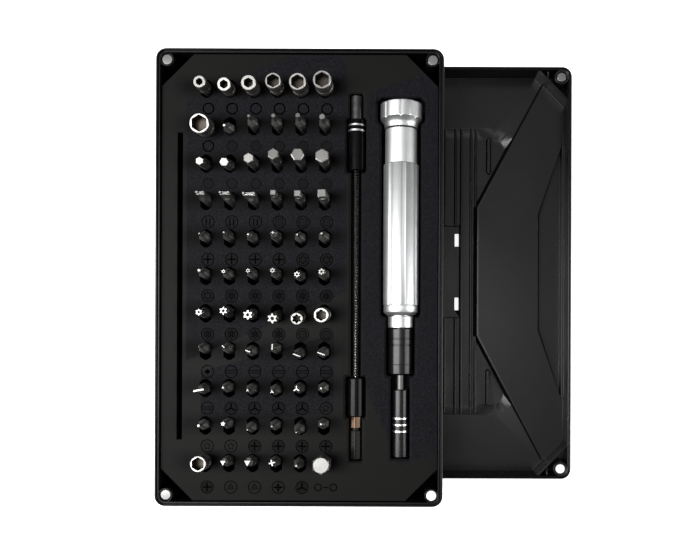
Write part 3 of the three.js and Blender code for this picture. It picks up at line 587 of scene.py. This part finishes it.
def large_key_bit(across, turn=HEX_TURN, top=BIT_TOP):
    corner = across / 2 / math.cos(math.pi / 6)
    shape = regular(6, across / 2, turn, 0.02)
    neck = min(corner, 2.1)
    stations = shank_stations(neck, 22.6) + [[24.2, neck, SHANK], [24.7, shape, SHANK]]
    return stations + solid_tip(shape, 26.0, top, 0.22, 0.89, FACE)


def star_bit(lobes, across, hole=0.0, top=BIT_TOP, inner_share=0.6):
    outer = across / 2
    shape = lobed(lobes, outer, outer * inner_share, HEX_TURN, 1.1)
    stations = shank_stations(max(outer * 1.02, 0.6), 23.4) + [[25.0, outer * 0.98, SHANK]]
    if hole:
        return stations + bored_tip(shape, hole, 25.4, top, 1.4)
    return stations + solid_tip(shape, 25.4, top)


def cross_bit(reach, thickness, point, top=BIT_TOP):
    """A Phillips tip: a cone with four wings that narrows to its point."""
    wide = arms(4, reach, thickness * 1.5, reach * 0.62)
    narrow = arms(4, point, thickness * 0.7, point * 0.5)
    stations = shank_stations(reach * 1.02, 23.6) + [[24.6, reach, SHANK], [25.0, reach * 0.96, TIP]]
    stations += [[25.7, wide, TIP], [top - 0.15, narrow, TIP]]
    return stations + [[top, lambda angle: narrow(angle) * 0.85, TIP]]


def winged_bit(count, reach, thickness, turn=HEX_TURN, top=BIT_TOP):
    shape = arms(count, reach, thickness, thickness * 1.2, turn)
    stations = shank_stations(max(reach * 0.9, 0.7), 23.6) + [[24.8, max(reach * 0.85, 0.65), SHANK]]
    return stations + solid_tip(shape, 25.6, top)


def blade_bit(width, thickness, turn_degrees, top=BIT_TOP):
    reach = width / 2
    turn = math.radians(turn_degrees)
    thick = arms(2, reach * 0.92, max(reach * 0.4, 0.4), 0.3, turn)
    thin = arms(2, reach, thickness, thickness, turn)
    stations = shank_stations(max(reach * 0.75, 0.7), 23.4) + [[24.2, max(reach * 0.72, 0.65), SHANK]]
    return stations + [[24.9, thick, SHANK], [26.6, thin, TIP], [top, thin, TIP]]


def point_bit(top=BIT_TOP):
    stations = shank_stations(0.7, 23.6) + [[25.2, 0.6, SHANK], [25.6, 0.55, TIP]]
    return stations + [[top - 0.1, 0.16, TIP], [top, 0.08, TIP]]


def socket_bit(outer, inside, depth=4.5, top=SOCKET_TOP):
    """A nut socket: a turned sleeve on the shank, with a groove near its foot and a chamfered mouth."""
    edge = 0.2
    foot = SOCKET_FOOT
    return [
        [0.0, hexagon(SHANK_FLAT - 0.45), SOCKET_SHANK],
        [0.6, hexagon(SHANK_FLAT, 0.03), SOCKET_SHANK],
        [foot - 0.25, hexagon(SHANK_FLAT, 0.03), SOCKET_SHANK],
        [foot - 0.2, max(outer - 0.3, 2.25), SHANK],
        [foot, outer, SHANK],
        [foot + 2.3, outer, SHANK],
        [foot + 2.35, outer - 0.07, SHANK],
        [foot + 2.75, outer - 0.07, SHANK],
        [foot + 2.8, outer, SHANK],
        [top - edge, outer, SHANK],
        [top, outer - edge, TIP],
        [top, lambda angle: min(inside(angle) + 0.16, outer - edge - 0.05), TIP],
        [top - 0.25, inside, BORE],
        [top - depth, inside, BORE],
    ]


def adaptor_bit(across, top=BIT_TOP):
    """A quarter-inch hexagon on the shank, chamfered round like a turned bar's end."""
    shape = hexagon(across / 2, 0.02)
    face = across / 2 * 0.93
    return [
        [0.0, hexagon(SHANK_FLAT - 0.45), SHANK],
        [0.6, hexagon(SHANK_FLAT, 0.03), SHANK],
        [19.75, hexagon(SHANK_FLAT, 0.03), SHANK],
        [19.8, hexagon(across / 2 - 0.4), SHANK],
        [20.3, shape, SHANK],
        [top - 0.5, shape, SHANK],
        [top - 0.2, lambda angle: min(shape(angle), across / 2 + 0.05), TIP],
        [top, face, FACE],
    ]


def fork_bit(name, width, top=BIT_TOP):
    """A spanner tip: a wide flat neck that ends in two small prongs."""
    half_width = width / 2
    neck = arms(2, half_width, 0.62, 0.62, 0.0)
    stations = shank_stations(min(half_width, 1.9), 22.6) + [
        [23.2, arms(2, half_width, 1.1, 1.1, 0.0), SHANK],
        [25.6, neck, SHANK],
        [26.2, neck, SHANK],
        [26.25, arms(2, half_width - 0.05, 0.57, 0.57, 0.0), TIP],
    ]
    pieces = [loft(name, stations, BIT_MATERIALS)]
    for side in (-1, 1):
        shape = regular(4, 0.42, math.pi / 4)
        prong = [[26.0, shape, TIP], [top - 0.1, shape, TIP], [top, regular(4, 0.34, math.pi / 4), TIP]]
        origin = (side * (half_width - 0.44) * MM, 0, 0)
        pieces.append(loft(f"{name}_prong", prong, BIT_MATERIALS, origin=origin, count=16))
    return join(pieces, name)


def hex_hole(across):
    return hexagon(across / 2)


ACROSS = 0.0
SQUARE_TURN = math.pi / 4
DOWNWARD = -math.pi / 2

# One line per row of wells, from the back row to the front row. Sizes are in millimetres.
BIT_ROWS = (
    [("socket", 2.4, hex_hole(2.3)), ("socket", 2.65, hex_hole(2.8)), ("socket", 2.95, hex_hole(3.2)),
     ("socket", 3.1, hex_hole(4.4)), ("socket", 3.35, hex_hole(4.6)), ("socket", 3.6, hex_hole(5.1))],
    [("socket", 3.85, hex_hole(5.6)), key_bit(1.0), key_bit(1.2), key_bit(1.5), key_bit(1.7), key_bit(2.1)],
    [large_key_bit(2.9), large_key_bit(3.2, ACROSS), large_key_bit(3.7), large_key_bit(4.0),
     large_key_bit(4.7, ACROSS), large_key_bit(5.0)],
    [("fork", 3.3), ("fork", 4.1), ("fork", 5.0),
     key_bit(2.05, 4, SQUARE_TURN), key_bit(2.45, 4, SQUARE_TURN), key_bit(3.1, 4, SQUARE_TURN + 0.09)],
    [cross_bit(0.7, 0.18, 0.28), cross_bit(0.95, 0.22, 0.32), cross_bit(1.15, 0.26, 0.4),
     cross_bit(1.5, 0.32, 0.55), star_bit(6, 0.85), star_bit(6, 1.1)],
    [star_bit(6, 1.4), star_bit(6, 1.6, 0.3), star_bit(6, 1.8, 0.33), star_bit(6, 2.1, 0.4),
     star_bit(6, 2.5, 0.48), star_bit(6, 2.7, 0.52)],
    [star_bit(6, 2.8, 0.54), star_bit(6, 3.3, 0.62), star_bit(6, 4.0, 0.72), star_bit(6, 4.2, 0.76),
     ("socket", 2.4, lobed(6, 1.75, 1.2, HEX_TURN, 1.2)),
     ("socket", 2.95, lobed(6, 2.05, 1.75, HEX_TURN, 0.8))],
    [point_bit(), blade_bit(1.2, 0.14, -45), blade_bit(2.0, 0.16, -20), blade_bit(2.2, 0.18, 90),
     blade_bit(3.0, 0.2, -20), blade_bit(3.2, 0.22, -20)],
    [blade_bit(4.1, 0.3, 10), winged_bit(3, 0.5, 0.13), winged_bit(3, 0.6, 0.15), winged_bit(3, 0.8, 0.18),
     winged_bit(3, 1.4, 0.24), star_bit(5, 0.9, inner_share=0.7)],
    [star_bit(5, 1.2, inner_share=0.7), star_bit(5, 1.8, inner_share=0.7), cross_bit(0.6, 0.18, 0.26),
     cross_bit(0.6, 0.18, 0.26), cross_bit(0.75, 0.2, 0.3), cross_bit(1.15, 0.28, 0.42)],
    [("socket", 3.1, hex_hole(4.4)), key_bit(1.39, 3, DOWNWARD), key_bit(1.62, 3, DOWNWARD),
     winged_bit(4, 1.3, 0.25, HEX_TURN + 0.26), winged_bit(3, 0.55, 0.15), ("adaptor", 6.3)],
)

# CAD nodes that a bit's piece stands for, by (row, column)
CAD_BITS = {}
for label, row, first, count in (
    ("nut_socket", 0, 0, 6), ("small_key", 1, 0, 6), ("large_key", 2, 0, 6), ("fork_square", 3, 0, 6),
    ("star_socket", 6, 4, 2), ("wide_blade", 8, 0, 1), ("last_row", 10, 0, 6),
):
    for step in range(count):
        CAD_BITS[(row, first + step)] = f"bit_{label}_{step + 1}"


def bit_piece(name, spec):
    if isinstance(spec, list):
        return loft(name, spec, BIT_MATERIALS, sharp=16)
    if spec[0] == "socket":
        return loft(name, socket_bit(spec[1], spec[2]), SOCKET_MATERIALS)
    if spec[0] == "adaptor":
        return loft(name, adaptor_bit(spec[1]), BIT_MATERIALS, sharp=16)
    return fork_bit(name, spec[1])


def well_place(row, column):
    x = TRAY.x + (FIRST_WELL[0] + column * WELL_PITCH[0]) * MM
    y = TRAY.y + (FIRST_WELL[1] - row * WELL_PITCH[1]) * MM
    return x, y


def make_bits():
    for row in range(ROWS):
        for column in range(COLUMNS):
            name = f"bit_r{row + 1:02d}_c{column + 1}"
            piece = bit_piece(name, BIT_ROWS[row][column])
            x, y = well_place(row, column)
            lean = math.radians(LEANS[row][column])
            pivot = Matrix.Translation((x, y, DECK_Z - PIVOT_DEPTH * MM))
            sunk = Matrix.Translation((0, 0, (PIVOT_DEPTH - BIT_SUNK) * MM))
            place(piece, pivot @ Matrix.Rotation(-lean, 4, "X") @ sunk)
            node = CAD_BITS.get((row, column))
            if node:
                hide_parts(node)
            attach(piece, node or "tray")


# ---------- pictograms on the deck ----------


def prism_faces(outline, height, vertices, faces, hole=None):
    """Adds a flat closed prism over an outline, or a band between an outline and its hole."""
    base = len(vertices)
    n = len(outline)
    bottom = DECK_Z - PICTOGRAM_FOOT * MM
    top = DECK_Z + height * MM
    if hole is None:
        vertices.extend((x, y, bottom) for x, y in outline)
        vertices.extend((x, y, top) for x, y in outline)
        faces.append(tuple(base + i for i in reversed(range(n))))
        faces.append(tuple(base + n + i for i in range(n)))
        for i in range(n):
            j = (i + 1) % n
            faces.append((base + i, base + j, base + n + j, base + n + i))
        return
    for ring in (outline, hole):
        vertices.extend((x, y, bottom) for x, y in ring)
        vertices.extend((x, y, top) for x, y in ring)
    for i in range(n):
        j = (i + 1) % n
        out_low, out_high = base, base + n
        in_low, in_high = base + 2 * n, base + 3 * n
        faces.append((out_low + i, out_low + j, out_high + j, out_high + i))
        faces.append((out_high + i, out_high + j, in_high + j, in_high + i))
        faces.append((in_high + i, in_high + j, in_low + j, in_low + i))
        faces.append((in_low + i, in_low + j, out_low + j, out_low + i))


class Pictograms:
    """Flat prisms on the deck. The share lowers them, so that fields stay under the lines on them."""

    def __init__(self, share=1.0):
        self.height = PICTOGRAM_HEIGHT * share
        self.vertices = []
        self.faces = []

    def fill(self, x, y, radius, count=48):
        outline = []
        for index in range(count):
            angle = TAU * index / count
            r = radius(angle) * MM
            outline.append((x + r * math.cos(angle), y + r * math.sin(angle)))
        prism_faces(outline, self.height, self.vertices, self.faces)

    def band(self, x, y, outer, width, count=48):
        rings = []
        for inset in (0.0, width):
            ring = []
            for index in range(count):
                angle = TAU * index / count
                r = (outer(angle) - inset) * MM
                ring.append((x + r * math.cos(angle), y + r * math.sin(angle)))
            rings.append(ring)
        prism_faces(rings[0], self.height, self.vertices, self.faces, rings[1])

    def bar(self, x, y, width, length):
        half = (width / 2 * MM, length / 2 * MM)
        corners = ((-1, -1), (1, -1), (1, 1), (-1, 1))
        outline = [(x + sx * half[0], y + sy * half[1]) for sx, sy in corners]
        prism_faces(outline, self.height, self.vertices, self.faces)

    def finish(self, name, material):
        piece = make_object(name, self.vertices, self.faces, [material], smooth=False)
        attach(piece, "tray")


def draw_pictogram(lines, fills, kind, x, y):
    upward = math.pi / 2

    def shape(radius, line=0.22):
        fills.fill(x, y, radius)
        lines.band(x, y, lambda angle: radius(angle) + 0.02, line)

    if kind == "thick_ring":
        lines.band(x, y, regular(8, 2.35, 0.39), 0.55)
        return
    if kind == "hex":
        shape(regular(6, 2.35 * math.cos(math.pi / 6)))
        return
    lines.band(x, y, circle(PICTOGRAM_RADIUS), PICTOGRAM_LINE)
    star = lobed(6, 1.85, 1.25, upward, 1.2)
    if kind == "fork":
        for side in (-1, 1):
            lines.bar(x + side * 0.75 * MM, y - 0.1 * MM, 0.45, 3.0)
    elif kind == "square":
        shape(regular(4, 1.45, math.pi / 4))
    elif kind == "cross":
        fills.fill(x, y, circle(2.2))
        lines.fill(x, y, arms(4, 1.9, 0.27, 0.4))
    elif kind == "star":
        fills.fill(x, y, circle(2.2))
        lines.band(x, y, star, 0.42)
    elif kind == "star_pin":
        fills.fill(x, y, circle(2.2))
        lines.band(x, y, star, 0.42)
        lines.band(x, y, circle(0.75), 0.4)
    elif kind == "disc":
        shape(circle(1.75), 0.3)
    elif kind == "dot":
        lines.fill(x, y, circle(0.9))
    elif kind == "bar":
        fills.bar(x, y, 4.4, 1.3)
        for side in (-1, 1):
            lines.bar(x, y + side * 0.55 * MM, 4.6, 0.25)
    elif kind == "wing":
        fills.fill(x, y, circle(2.2))
        lines.fill(x, y, arms(3, 2.1, 0.27, 0.4))
    elif kind == "penta":
        lines.band(x, y, lobed(5, 1.45, 0.95, upward, 1.2), 0.32)
    elif kind == "triangle":
        shape(regular(3, 0.9, upward))
    elif kind == "cross_square":
        lines.fill(x, y, arms(4, 1.9, 0.28, 0.4))
        lines.band(x, y, regular(4, 0.9, math.pi / 4), 0.25)


PICTOGRAM_ROWS = (
    ["thick_ring"] * 6,
    ["thick_ring"] + ["hex"] * 5,
    ["hex"] * 6,
    ["fork"] * 3 + ["square"] * 3,
    ["cross"] * 4 + ["star"] * 2,
    ["star"] + ["star_pin"] * 5,
    ["star_pin"] * 4 + ["disc"] * 2,
    ["dot"] + ["bar"] * 5,
    ["bar"] + ["wing"] * 4 + ["penta"],
    ["penta"] * 2 + ["cross"] * 4,
    ["cross", "triangle", "triangle", "cross_square", "wing", "adaptor"],
)
PICTOGRAM_RIGHT = 0.8  # the pictograms stand this far to the right of their wells


def make_pictograms():
    lines = Pictograms()
    fills = Pictograms(0.6)
    for row in range(ROWS):
        for column in range(COLUMNS):
            kind = PICTOGRAM_ROWS[row][column]
            x, y = well_place(row, column)
            x += PICTOGRAM_RIGHT * MM
            y -= PICTOGRAM_BELOW[row] * MM
            if kind == "adaptor":
                for side in (-1, 1):
                    lines.band(x + side * 3.1 * MM, y, circle(1.6), 0.4)
                lines.bar(x, y, 1.8, 0.4)
                continue
            draw_pictogram(lines, fills, kind, x, y)
    fills.finish("deck_pictogram_fields", PRINT_FILL)
    # The line prisms carry the painted shade of the engraved grooves.
    lines.finish("deck_pictogram_lines", PICTOGRAM_GROOVE_SHADE)


# ---------- screwdriver ----------

# Places in a turned piece's list of materials
SKIN = 0
LINING = 1
RING = 2
TINTED = 1


def grooved(radius, count, start, half_angle, depth, land_crown=0.0):
    """A round section with flat-bottomed grooves, and slightly crowned lands between them."""
    step = TAU / count

    def shape(angle):
        offset = (angle - start + step / 2) % step - step / 2
        if abs(offset) < half_angle:
            inner = min(1.0, (half_angle - abs(offset)) / (half_angle * 0.25))
            return radius - depth * inner
        crown = 1 - ((abs(offset) - step / 2) / (step / 2 - half_angle)) ** 2
        return radius - land_crown * (1 - crown)

    return shape


def driver_piece(name, stations, materials, node, body, count=96, sharp=30):
    origin = (DRIVER.x, TRAY.y, DRIVER.z)
    piece = loft(name, stations, materials, axis="y", origin=origin, count=count, sharp=sharp)
    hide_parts(node)
    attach(piece, body)
    return piece


GRIP_GROOVES = 8
GRIP_GROOVE_START = math.radians(-80)
GRIP_GROOVE_HALF = math.radians(6.2)
CAP_GROOVES = 8
CAP_GROOVE_START = math.radians(-90)
CAP_GROOVE_HALF = math.radians(2.4)


def make_cap():
    cap_land = grooved(8.6, CAP_GROOVES, CAP_GROOVE_START, CAP_GROOVE_HALF, 0.4, 0.15)
    cap_edge = grooved(8.25, CAP_GROOVES, CAP_GROOVE_START, CAP_GROOVE_HALF, 0.4, 0.15)

    def scalloped(along):
        """The cone under the lands: it reaches further up the cap next to each groove."""
        cone = 7.35 + (along - 63.3) * 0.75
        return lambda angle: min(cap_land(angle), cone)

    cap = [
        [68.1, 4.9, LINING],
        [61.6, 5.3, LINING],
        [61.02, 5.6, SKIN],
        [61.02, 6.62, SKIN],
        [61.15, 6.78, SKIN],
        [61.8, 6.85, SKIN],
        [62.4, 6.98, SKIN],
        [62.9, 7.15, SKIN],
        [63.3, 7.35, SKIN],
        [63.9, scalloped(63.9), SKIN],
        [64.4, scalloped(64.4), SKIN],
        [64.6, scalloped(64.7), SKIN],
        [64.8, scalloped(64.9), SKIN],
        [65.1, cap_land, SKIN],
        [70.7, cap_land, SKIN],
        [71.05, cap_edge, SKIN],
        [71.2, 7.7, SKIN],
        [71.12, 6.9, SKIN],
        [71.0, 6.7, SKIN],
        [71.0, 0.6, SKIN],
    ]
    materials = [TURNED_ALUMINIUM, BEARING_STEEL]
    driver_piece("spin_cap_body", cap, materials, "driver_cap", "spin_cap", 360)


def make_handle():
    grip = grooved(7.33, GRIP_GROOVES, GRIP_GROOVE_START, GRIP_GROOVE_HALF, 0.2, 0.05)
    grip_edge = grooved(7.15, GRIP_GROOVES, GRIP_GROOVE_START, GRIP_GROOVE_HALF, 0.12, 0.05)
    handle = [
        [-9.75, 4.25, LINING],
        [-15.2, 4.3, LINING],
        [-15.2, 5.5, SKIN],
        [-14.9, 5.75, SKIN],
        [-14.05, 6.85, SKIN],
        [-13.75, 7.02, SKIN],
        [-11.55, 7.05, SKIN],
        [-11.4, 6.75, SKIN],
        [-11.2, 6.75, SKIN],
        [-11.1, grip_edge, SKIN],
        [-10.9, grip, SKIN],
        [45.9, grip, SKIN],
        [46.25, grip_edge, SKIN],
        [46.4, 6.75, SKIN],
        [46.55, 6.58, SKIN],
        [60.35, 6.55, SKIN],
        [60.55, 6.4, SKIN],
        [60.6, 6.2, SKIN],
        [60.6, 2.35, SKIN],
        [53.3, 2.3, LINING],
    ]
    materials = [ALUMINIUM, TURNED_ALUMINIUM]
    driver_piece("driver_grip", handle, materials, "driver_handle", "driver", 216)


def make_nose():
    nose = [
        [-11.7, 2.75, SKIN],
        [-20.05, 2.7, SKIN],
        [-20.2, 2.9, SKIN],
        [-20.2, 5.05, SKIN],
        [-20.05, 5.22, SKIN],
        [-15.7, 5.24, SKIN],
        [-15.52, 5.05, SKIN],
        [-15.52, 4.0, SKIN],
        [-10.2, 4.0, SKIN],
        [-10.0, 3.8, SKIN],
        [-10.0, 3.2, SKIN],
    ]
    driver_piece("driver_neck", nose, [TURNED_ALUMINIUM], "driver_nose", "driver")


def make_chuck():
    socket = hexagon(2.13)
    chuck = [
        [-26.4, 1.85, LINING],
        [-29.8, 1.9, LINING],
        [-29.85, socket, LINING],
        [-39.1, socket, LINING],
        [-39.4, lambda angle: socket(angle) + 0.25, SKIN],
        [-39.4, 4.2, SKIN],
        [-38.75, 4.92, SKIN],
        [-35.15, 5.0, SKIN],
        [-35.05, 4.94, SKIN],
        [-34.95, 5.0, SKIN],
        [-27.55, 5.0, SKIN],
        [-27.4, 4.82, SKIN],
        [-27.0, 4.82, SKIN],
        [-26.85, 5.0, SKIN],
        [-25.05, 5.0, SKIN],
        [-24.9, 4.82, SKIN],
        [-24.5, 4.82, SKIN],
        [-24.35, 5.0, SKIN],
        [-20.75, 5.0, SKIN],
        [-20.6, 4.85, SKIN],
        [-20.6, 2.4, SKIN],
        [-12.1, 2.4, SKIN],
        [-12.0, 2.3, SKIN],
    ]
    materials = [BLACK_ANODISED, GUNMETAL]
    driver_piece("chuck_barrel", chuck, materials, "driver_chuck", "driver")


def make_extension_shank():
    bar = regular(6, 1.92, HEX_TURN, 0.02)
    shank = [
        [-56.0, regular(6, 1.6, HEX_TURN), SKIN],
        [-55.6, bar, SKIN],
        [-46.6, bar, SKIN],
        [-46.2, 1.4, SKIN],
        [-39.5, 1.4, SKIN],
        [-39.1, bar, SKIN],
        [-30.0, bar, SKIN],
        [-29.6, regular(6, 1.6, HEX_TURN), SKIN],
    ]
    driver_piece("extension_rod", shank, [GUNMETAL], "extension_shank", "driver", 48)


def make_extension_sleeve():
    bore = hexagon(2.2)
    rings = [(-56.8, -57.55), (-59.4, -60.15), (-62.1, -62.85)]
    sleeve = [
        [-59.4, hexagon(1.6), LINING],
        [-59.35, bore, LINING],
        [-45.8, bore, LINING],
        [-45.5, lambda angle: bore(angle) + 0.2, SKIN],
        [-45.5, 2.95, SKIN],
        [-45.75, 3.22, SKIN],
    ]
    for high, low in rings:
        sleeve += [[high, 3.23, SKIN], [high - 0.03, 3.2, RING], [low + 0.03, 3.2, RING], [low, 3.23, SKIN]]
    sleeve += [
        [-72.7, 3.25, SKIN],
        [-73.1, 2.9, SKIN],
        [-73.1, lambda angle: bore(angle) + 0.2, SKIN],
        [-72.8, bore, LINING],
        [-60.0, bore, LINING],
        [-59.95, hexagon(1.6), LINING],
    ]
    materials = [BLACK_ANODISED, GUNMETAL, SILVER_RING]
    driver_piece("extension_barrel", sleeve[::-1], materials, "extension_sleeve", "driver")


# ---------- flexible shaft ----------


def shaft_piece(name, stations, materials, node, body, count=64, sharp=30):
    origin = (SHAFT.x, TRAY.y, SHAFT.z)
    piece = loft(name, stations, materials, axis="y", origin=origin, count=count, sharp=sharp)
    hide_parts(node)
    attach(piece, body)
    return piece


WIRE_RADIUS = 0.42
WIRE_LENGTHENED = 1.2  # the wire's section is this much longer along the shaft
COIL_RADIUS = 1.5
COIL_PITCH = 1.12
COIL_ENDS = (46.5, -44.5)


def coil_sheath():
    """The sheath's wire: a helix of oval wire wound close round the bore."""
    wire = WIRE_RADIUS
    winding = COIL_RADIUS - wire
    y_back, y_front = COIL_ENDS
    turns = (y_back - y_front) / COIL_PITCH
    around = 20
    section = 8
    steps = int(turns * around)
    vertices = []
    for step in range(steps + 1):
        angle = TAU * step / around
        y = y_back - wire + (y_front - y_back + 2 * wire) * step / steps
        for corner in range(section):
            spin = TAU * corner / section
            r = winding + wire * math.cos(spin)
            offset = wire * WIRE_LENGTHENED * math.sin(spin)
            x = SHAFT.x + r * math.cos(angle) * MM
            z = SHAFT.z + r * math.sin(angle) * MM
            vertices.append((x, TRAY.y + (y + offset) * MM, z))
    faces = []
    for step in range(steps):
        for corner in range(section):
            after = (corner + 1) % section
            a = step * section
            b = a + section
            faces.append((a + corner, a + after, b + after, b + corner))
    last = steps * section
    faces.append(tuple(reversed(range(section))))
    faces.append(tuple(last + corner for corner in range(section)))
    return make_object("coil_wire", vertices, faces, [COIL_BLACK])


def make_collar():
    socket = [
        [46.7, 1.85, LINING],
        [43.6, 1.8, LINING],
        [43.4, 1.95, SKIN],
        [43.4, 2.95, SKIN],
        [43.9, 3.5, SKIN],
        [59.5, 3.55, SKIN],
        [59.53, 3.52, RING],
        [60.25, 3.52, RING],
        [60.28, 3.55, SKIN],
        [61.7, 3.55, SKIN],
        [61.73, 3.52, RING],
        [62.45, 3.52, RING],
        [62.48, 3.55, SKIN],
        [64.1, 3.5, SKIN],
        [64.5, 3.05, SKIN],
        [64.6, 2.4, LINING],
        [64.7, 2.3, LINING],
        [73.9, 2.3, LINING],
        [74.2, 2.05, LINING],
        [74.2, hexagon(1.5), LINING],
        [67.0, hexagon(1.5), LINING],
    ]
    materials = [SHAFT_BLACK, NOSE_STEEL, SILVER_RING]
    shaft_piece("shaft_collar", socket, materials, "shaft_socket", "shaft_rotor")


def make_sheath():
    coil = coil_sheath()
    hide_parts("shaft_sheath")
    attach(coil, "flexible_shaft")


def make_ferrule():
    ferrule = [
        [-46.9, 0.95, LINING],
        [-44.9, 1.0, LINING],
        [-44.8, 1.8, LINING],
        [-40.9, 1.8, LINING],
        [-40.7, 2.0, SKIN],
        [-40.7, 2.9, SKIN],
        [-41.1, 3.28, SKIN],
        [-56.1, 3.3, SKIN],
        [-56.5, 2.95, SKIN],
        [-56.5, 2.7, SKIN],
        [-56.3, 2.6, LINING],
        [-47.6, 2.6, LINING],
        [-47.5, 0.95, LINING],
    ]
    materials = [SHAFT_BLACK, GUNMETAL]
    body = "flexible_shaft"
    shaft_piece("shaft_end_ferrule", ferrule[::-1], materials, "shaft_ferrule", body)


def make_drive_end():
    bar = regular(6, 1.98, HEX_TURN, 0.03)
    drive = [
        [-74.1, regular(6, 1.6, HEX_TURN), SKIN],
        [-73.6, bar, SKIN],
        [-62.4, bar, SKIN],
        [-62.2, 1.55, SKIN],
        [-61.2, 1.55, SKIN],
        [-61.0, bar, SKIN],
        [-48.0, bar, TINTED],
        [-47.8, regular(6, 1.7, HEX_TURN), TINTED],
    ]
    materials = [TAIL_BLACK, COPPER_STEEL]
    shaft_piece("shaft_drive_end", drive, materials, "shaft_drive", "shaft_rotor", 48)


# ---------- stage, lights, camera ----------


FLOOR_HALF_WIDTH = 4.0  # metres
FLOOR_Z = -0.0002  # just under the set, so that the two faces don't flicker


def make_floor():
    material, tree, principled = shader("studio_floor")
    tone = noise(tree, 3, 2)
    white = colour_between(tree, tone, (0.93, 0.93, 0.93), (0.96, 0.96, 0.96))
    tree.links.new(white, principled.inputs["Base Color"])
    principled.inputs["Roughness"].default_value = 0.9
    principled.inputs["Specular IOR Level"].default_value = 0.1
    principled.inputs["Emission Color"].default_value = (1, 1, 1, 1)
    principled.inputs["Emission Strength"].default_value = 0.8
    half = FLOOR_HALF_WIDTH
    corners = [(x, y, FLOOR_Z) for x, y in ((-half, -half), (half, -half), (half, half), (-half, half))]
    floor = make_object("studio_floor", corners, [(0, 1, 2, 3)], [material], smooth=False)


LAMP_TARGET = (0, 0, 0.03)


def area_light(name, position, size, power):
    data = bpy.data.lights.new(name, "AREA")
    data.shape = "RECTANGLE"
    data.size, data.size_y = size
    data.energy = power
    lamp = bpy.data.objects.new(name, data)
    lamp.location = position
    lamp.rotation_euler = (Vector(LAMP_TARGET) - Vector(position)).to_track_quat("-Z", "Y").to_euler()
    bpy.context.scene.collection.objects.link(lamp)


def make_lights():
    world = bpy.data.worlds.new("studio")
    world.use_nodes = True
    background = world.node_tree.nodes["Background"]
    background.inputs["Color"].default_value = (1, 1, 1, 1)
    background.inputs["Strength"].default_value = 0.06
    bpy.context.scene.world = world
    area_light("left_box", (-0.65, -0.05, 0.85), (0.45, 1.1), 20)
    area_light("right_box", (0.95, -0.1, 0.4), (0.35, 0.9), 7)
    area_light("high_left_strip", (-0.27, 0.05, 1.1), (0.2, 1.0), 1.5)
    area_light("overhead_box", (0.1, 0.1, 1.15), (1.2, 1.2), 3)


CAMERA_HEIGHT = 270 * MM  # above the tray's rim
CAMERA_FROM_TRAY = (49.9 * MM, -17.0 * MM)
CAMERA_LENS = 34.3
CAMERA_SHIFT = (-0.103, 0.057)
CAMERA_ROLL = math.radians(0.22)


def make_camera():
    data = bpy.data.cameras.new("camera")
    data.lens = CAMERA_LENS
    data.sensor_width = 36
    data.shift_x, data.shift_y = CAMERA_SHIFT
    data.clip_start = 0.01
    camera = bpy.data.objects.new("camera", data)
    camera.location = (TRAY.x + CAMERA_FROM_TRAY[0], TRAY.y + CAMERA_FROM_TRAY[1], RIM_Z + CAMERA_HEIGHT)
    camera.rotation_euler = (0, 0, CAMERA_ROLL)
    bpy.context.scene.collection.objects.link(camera)
    bpy.context.scene.camera = camera
    bpy.context.scene.view_settings.view_transform = "Standard"


make_camera()
dress_frame()
make_deck()
make_bits()
make_pictograms()
make_cap()
make_handle()
make_nose()
make_chuck()
make_extension_shank()
make_extension_sleeve()
make_collar()
make_sheath()
make_ferrule()
make_drive_end()
make_floor()
make_lights()
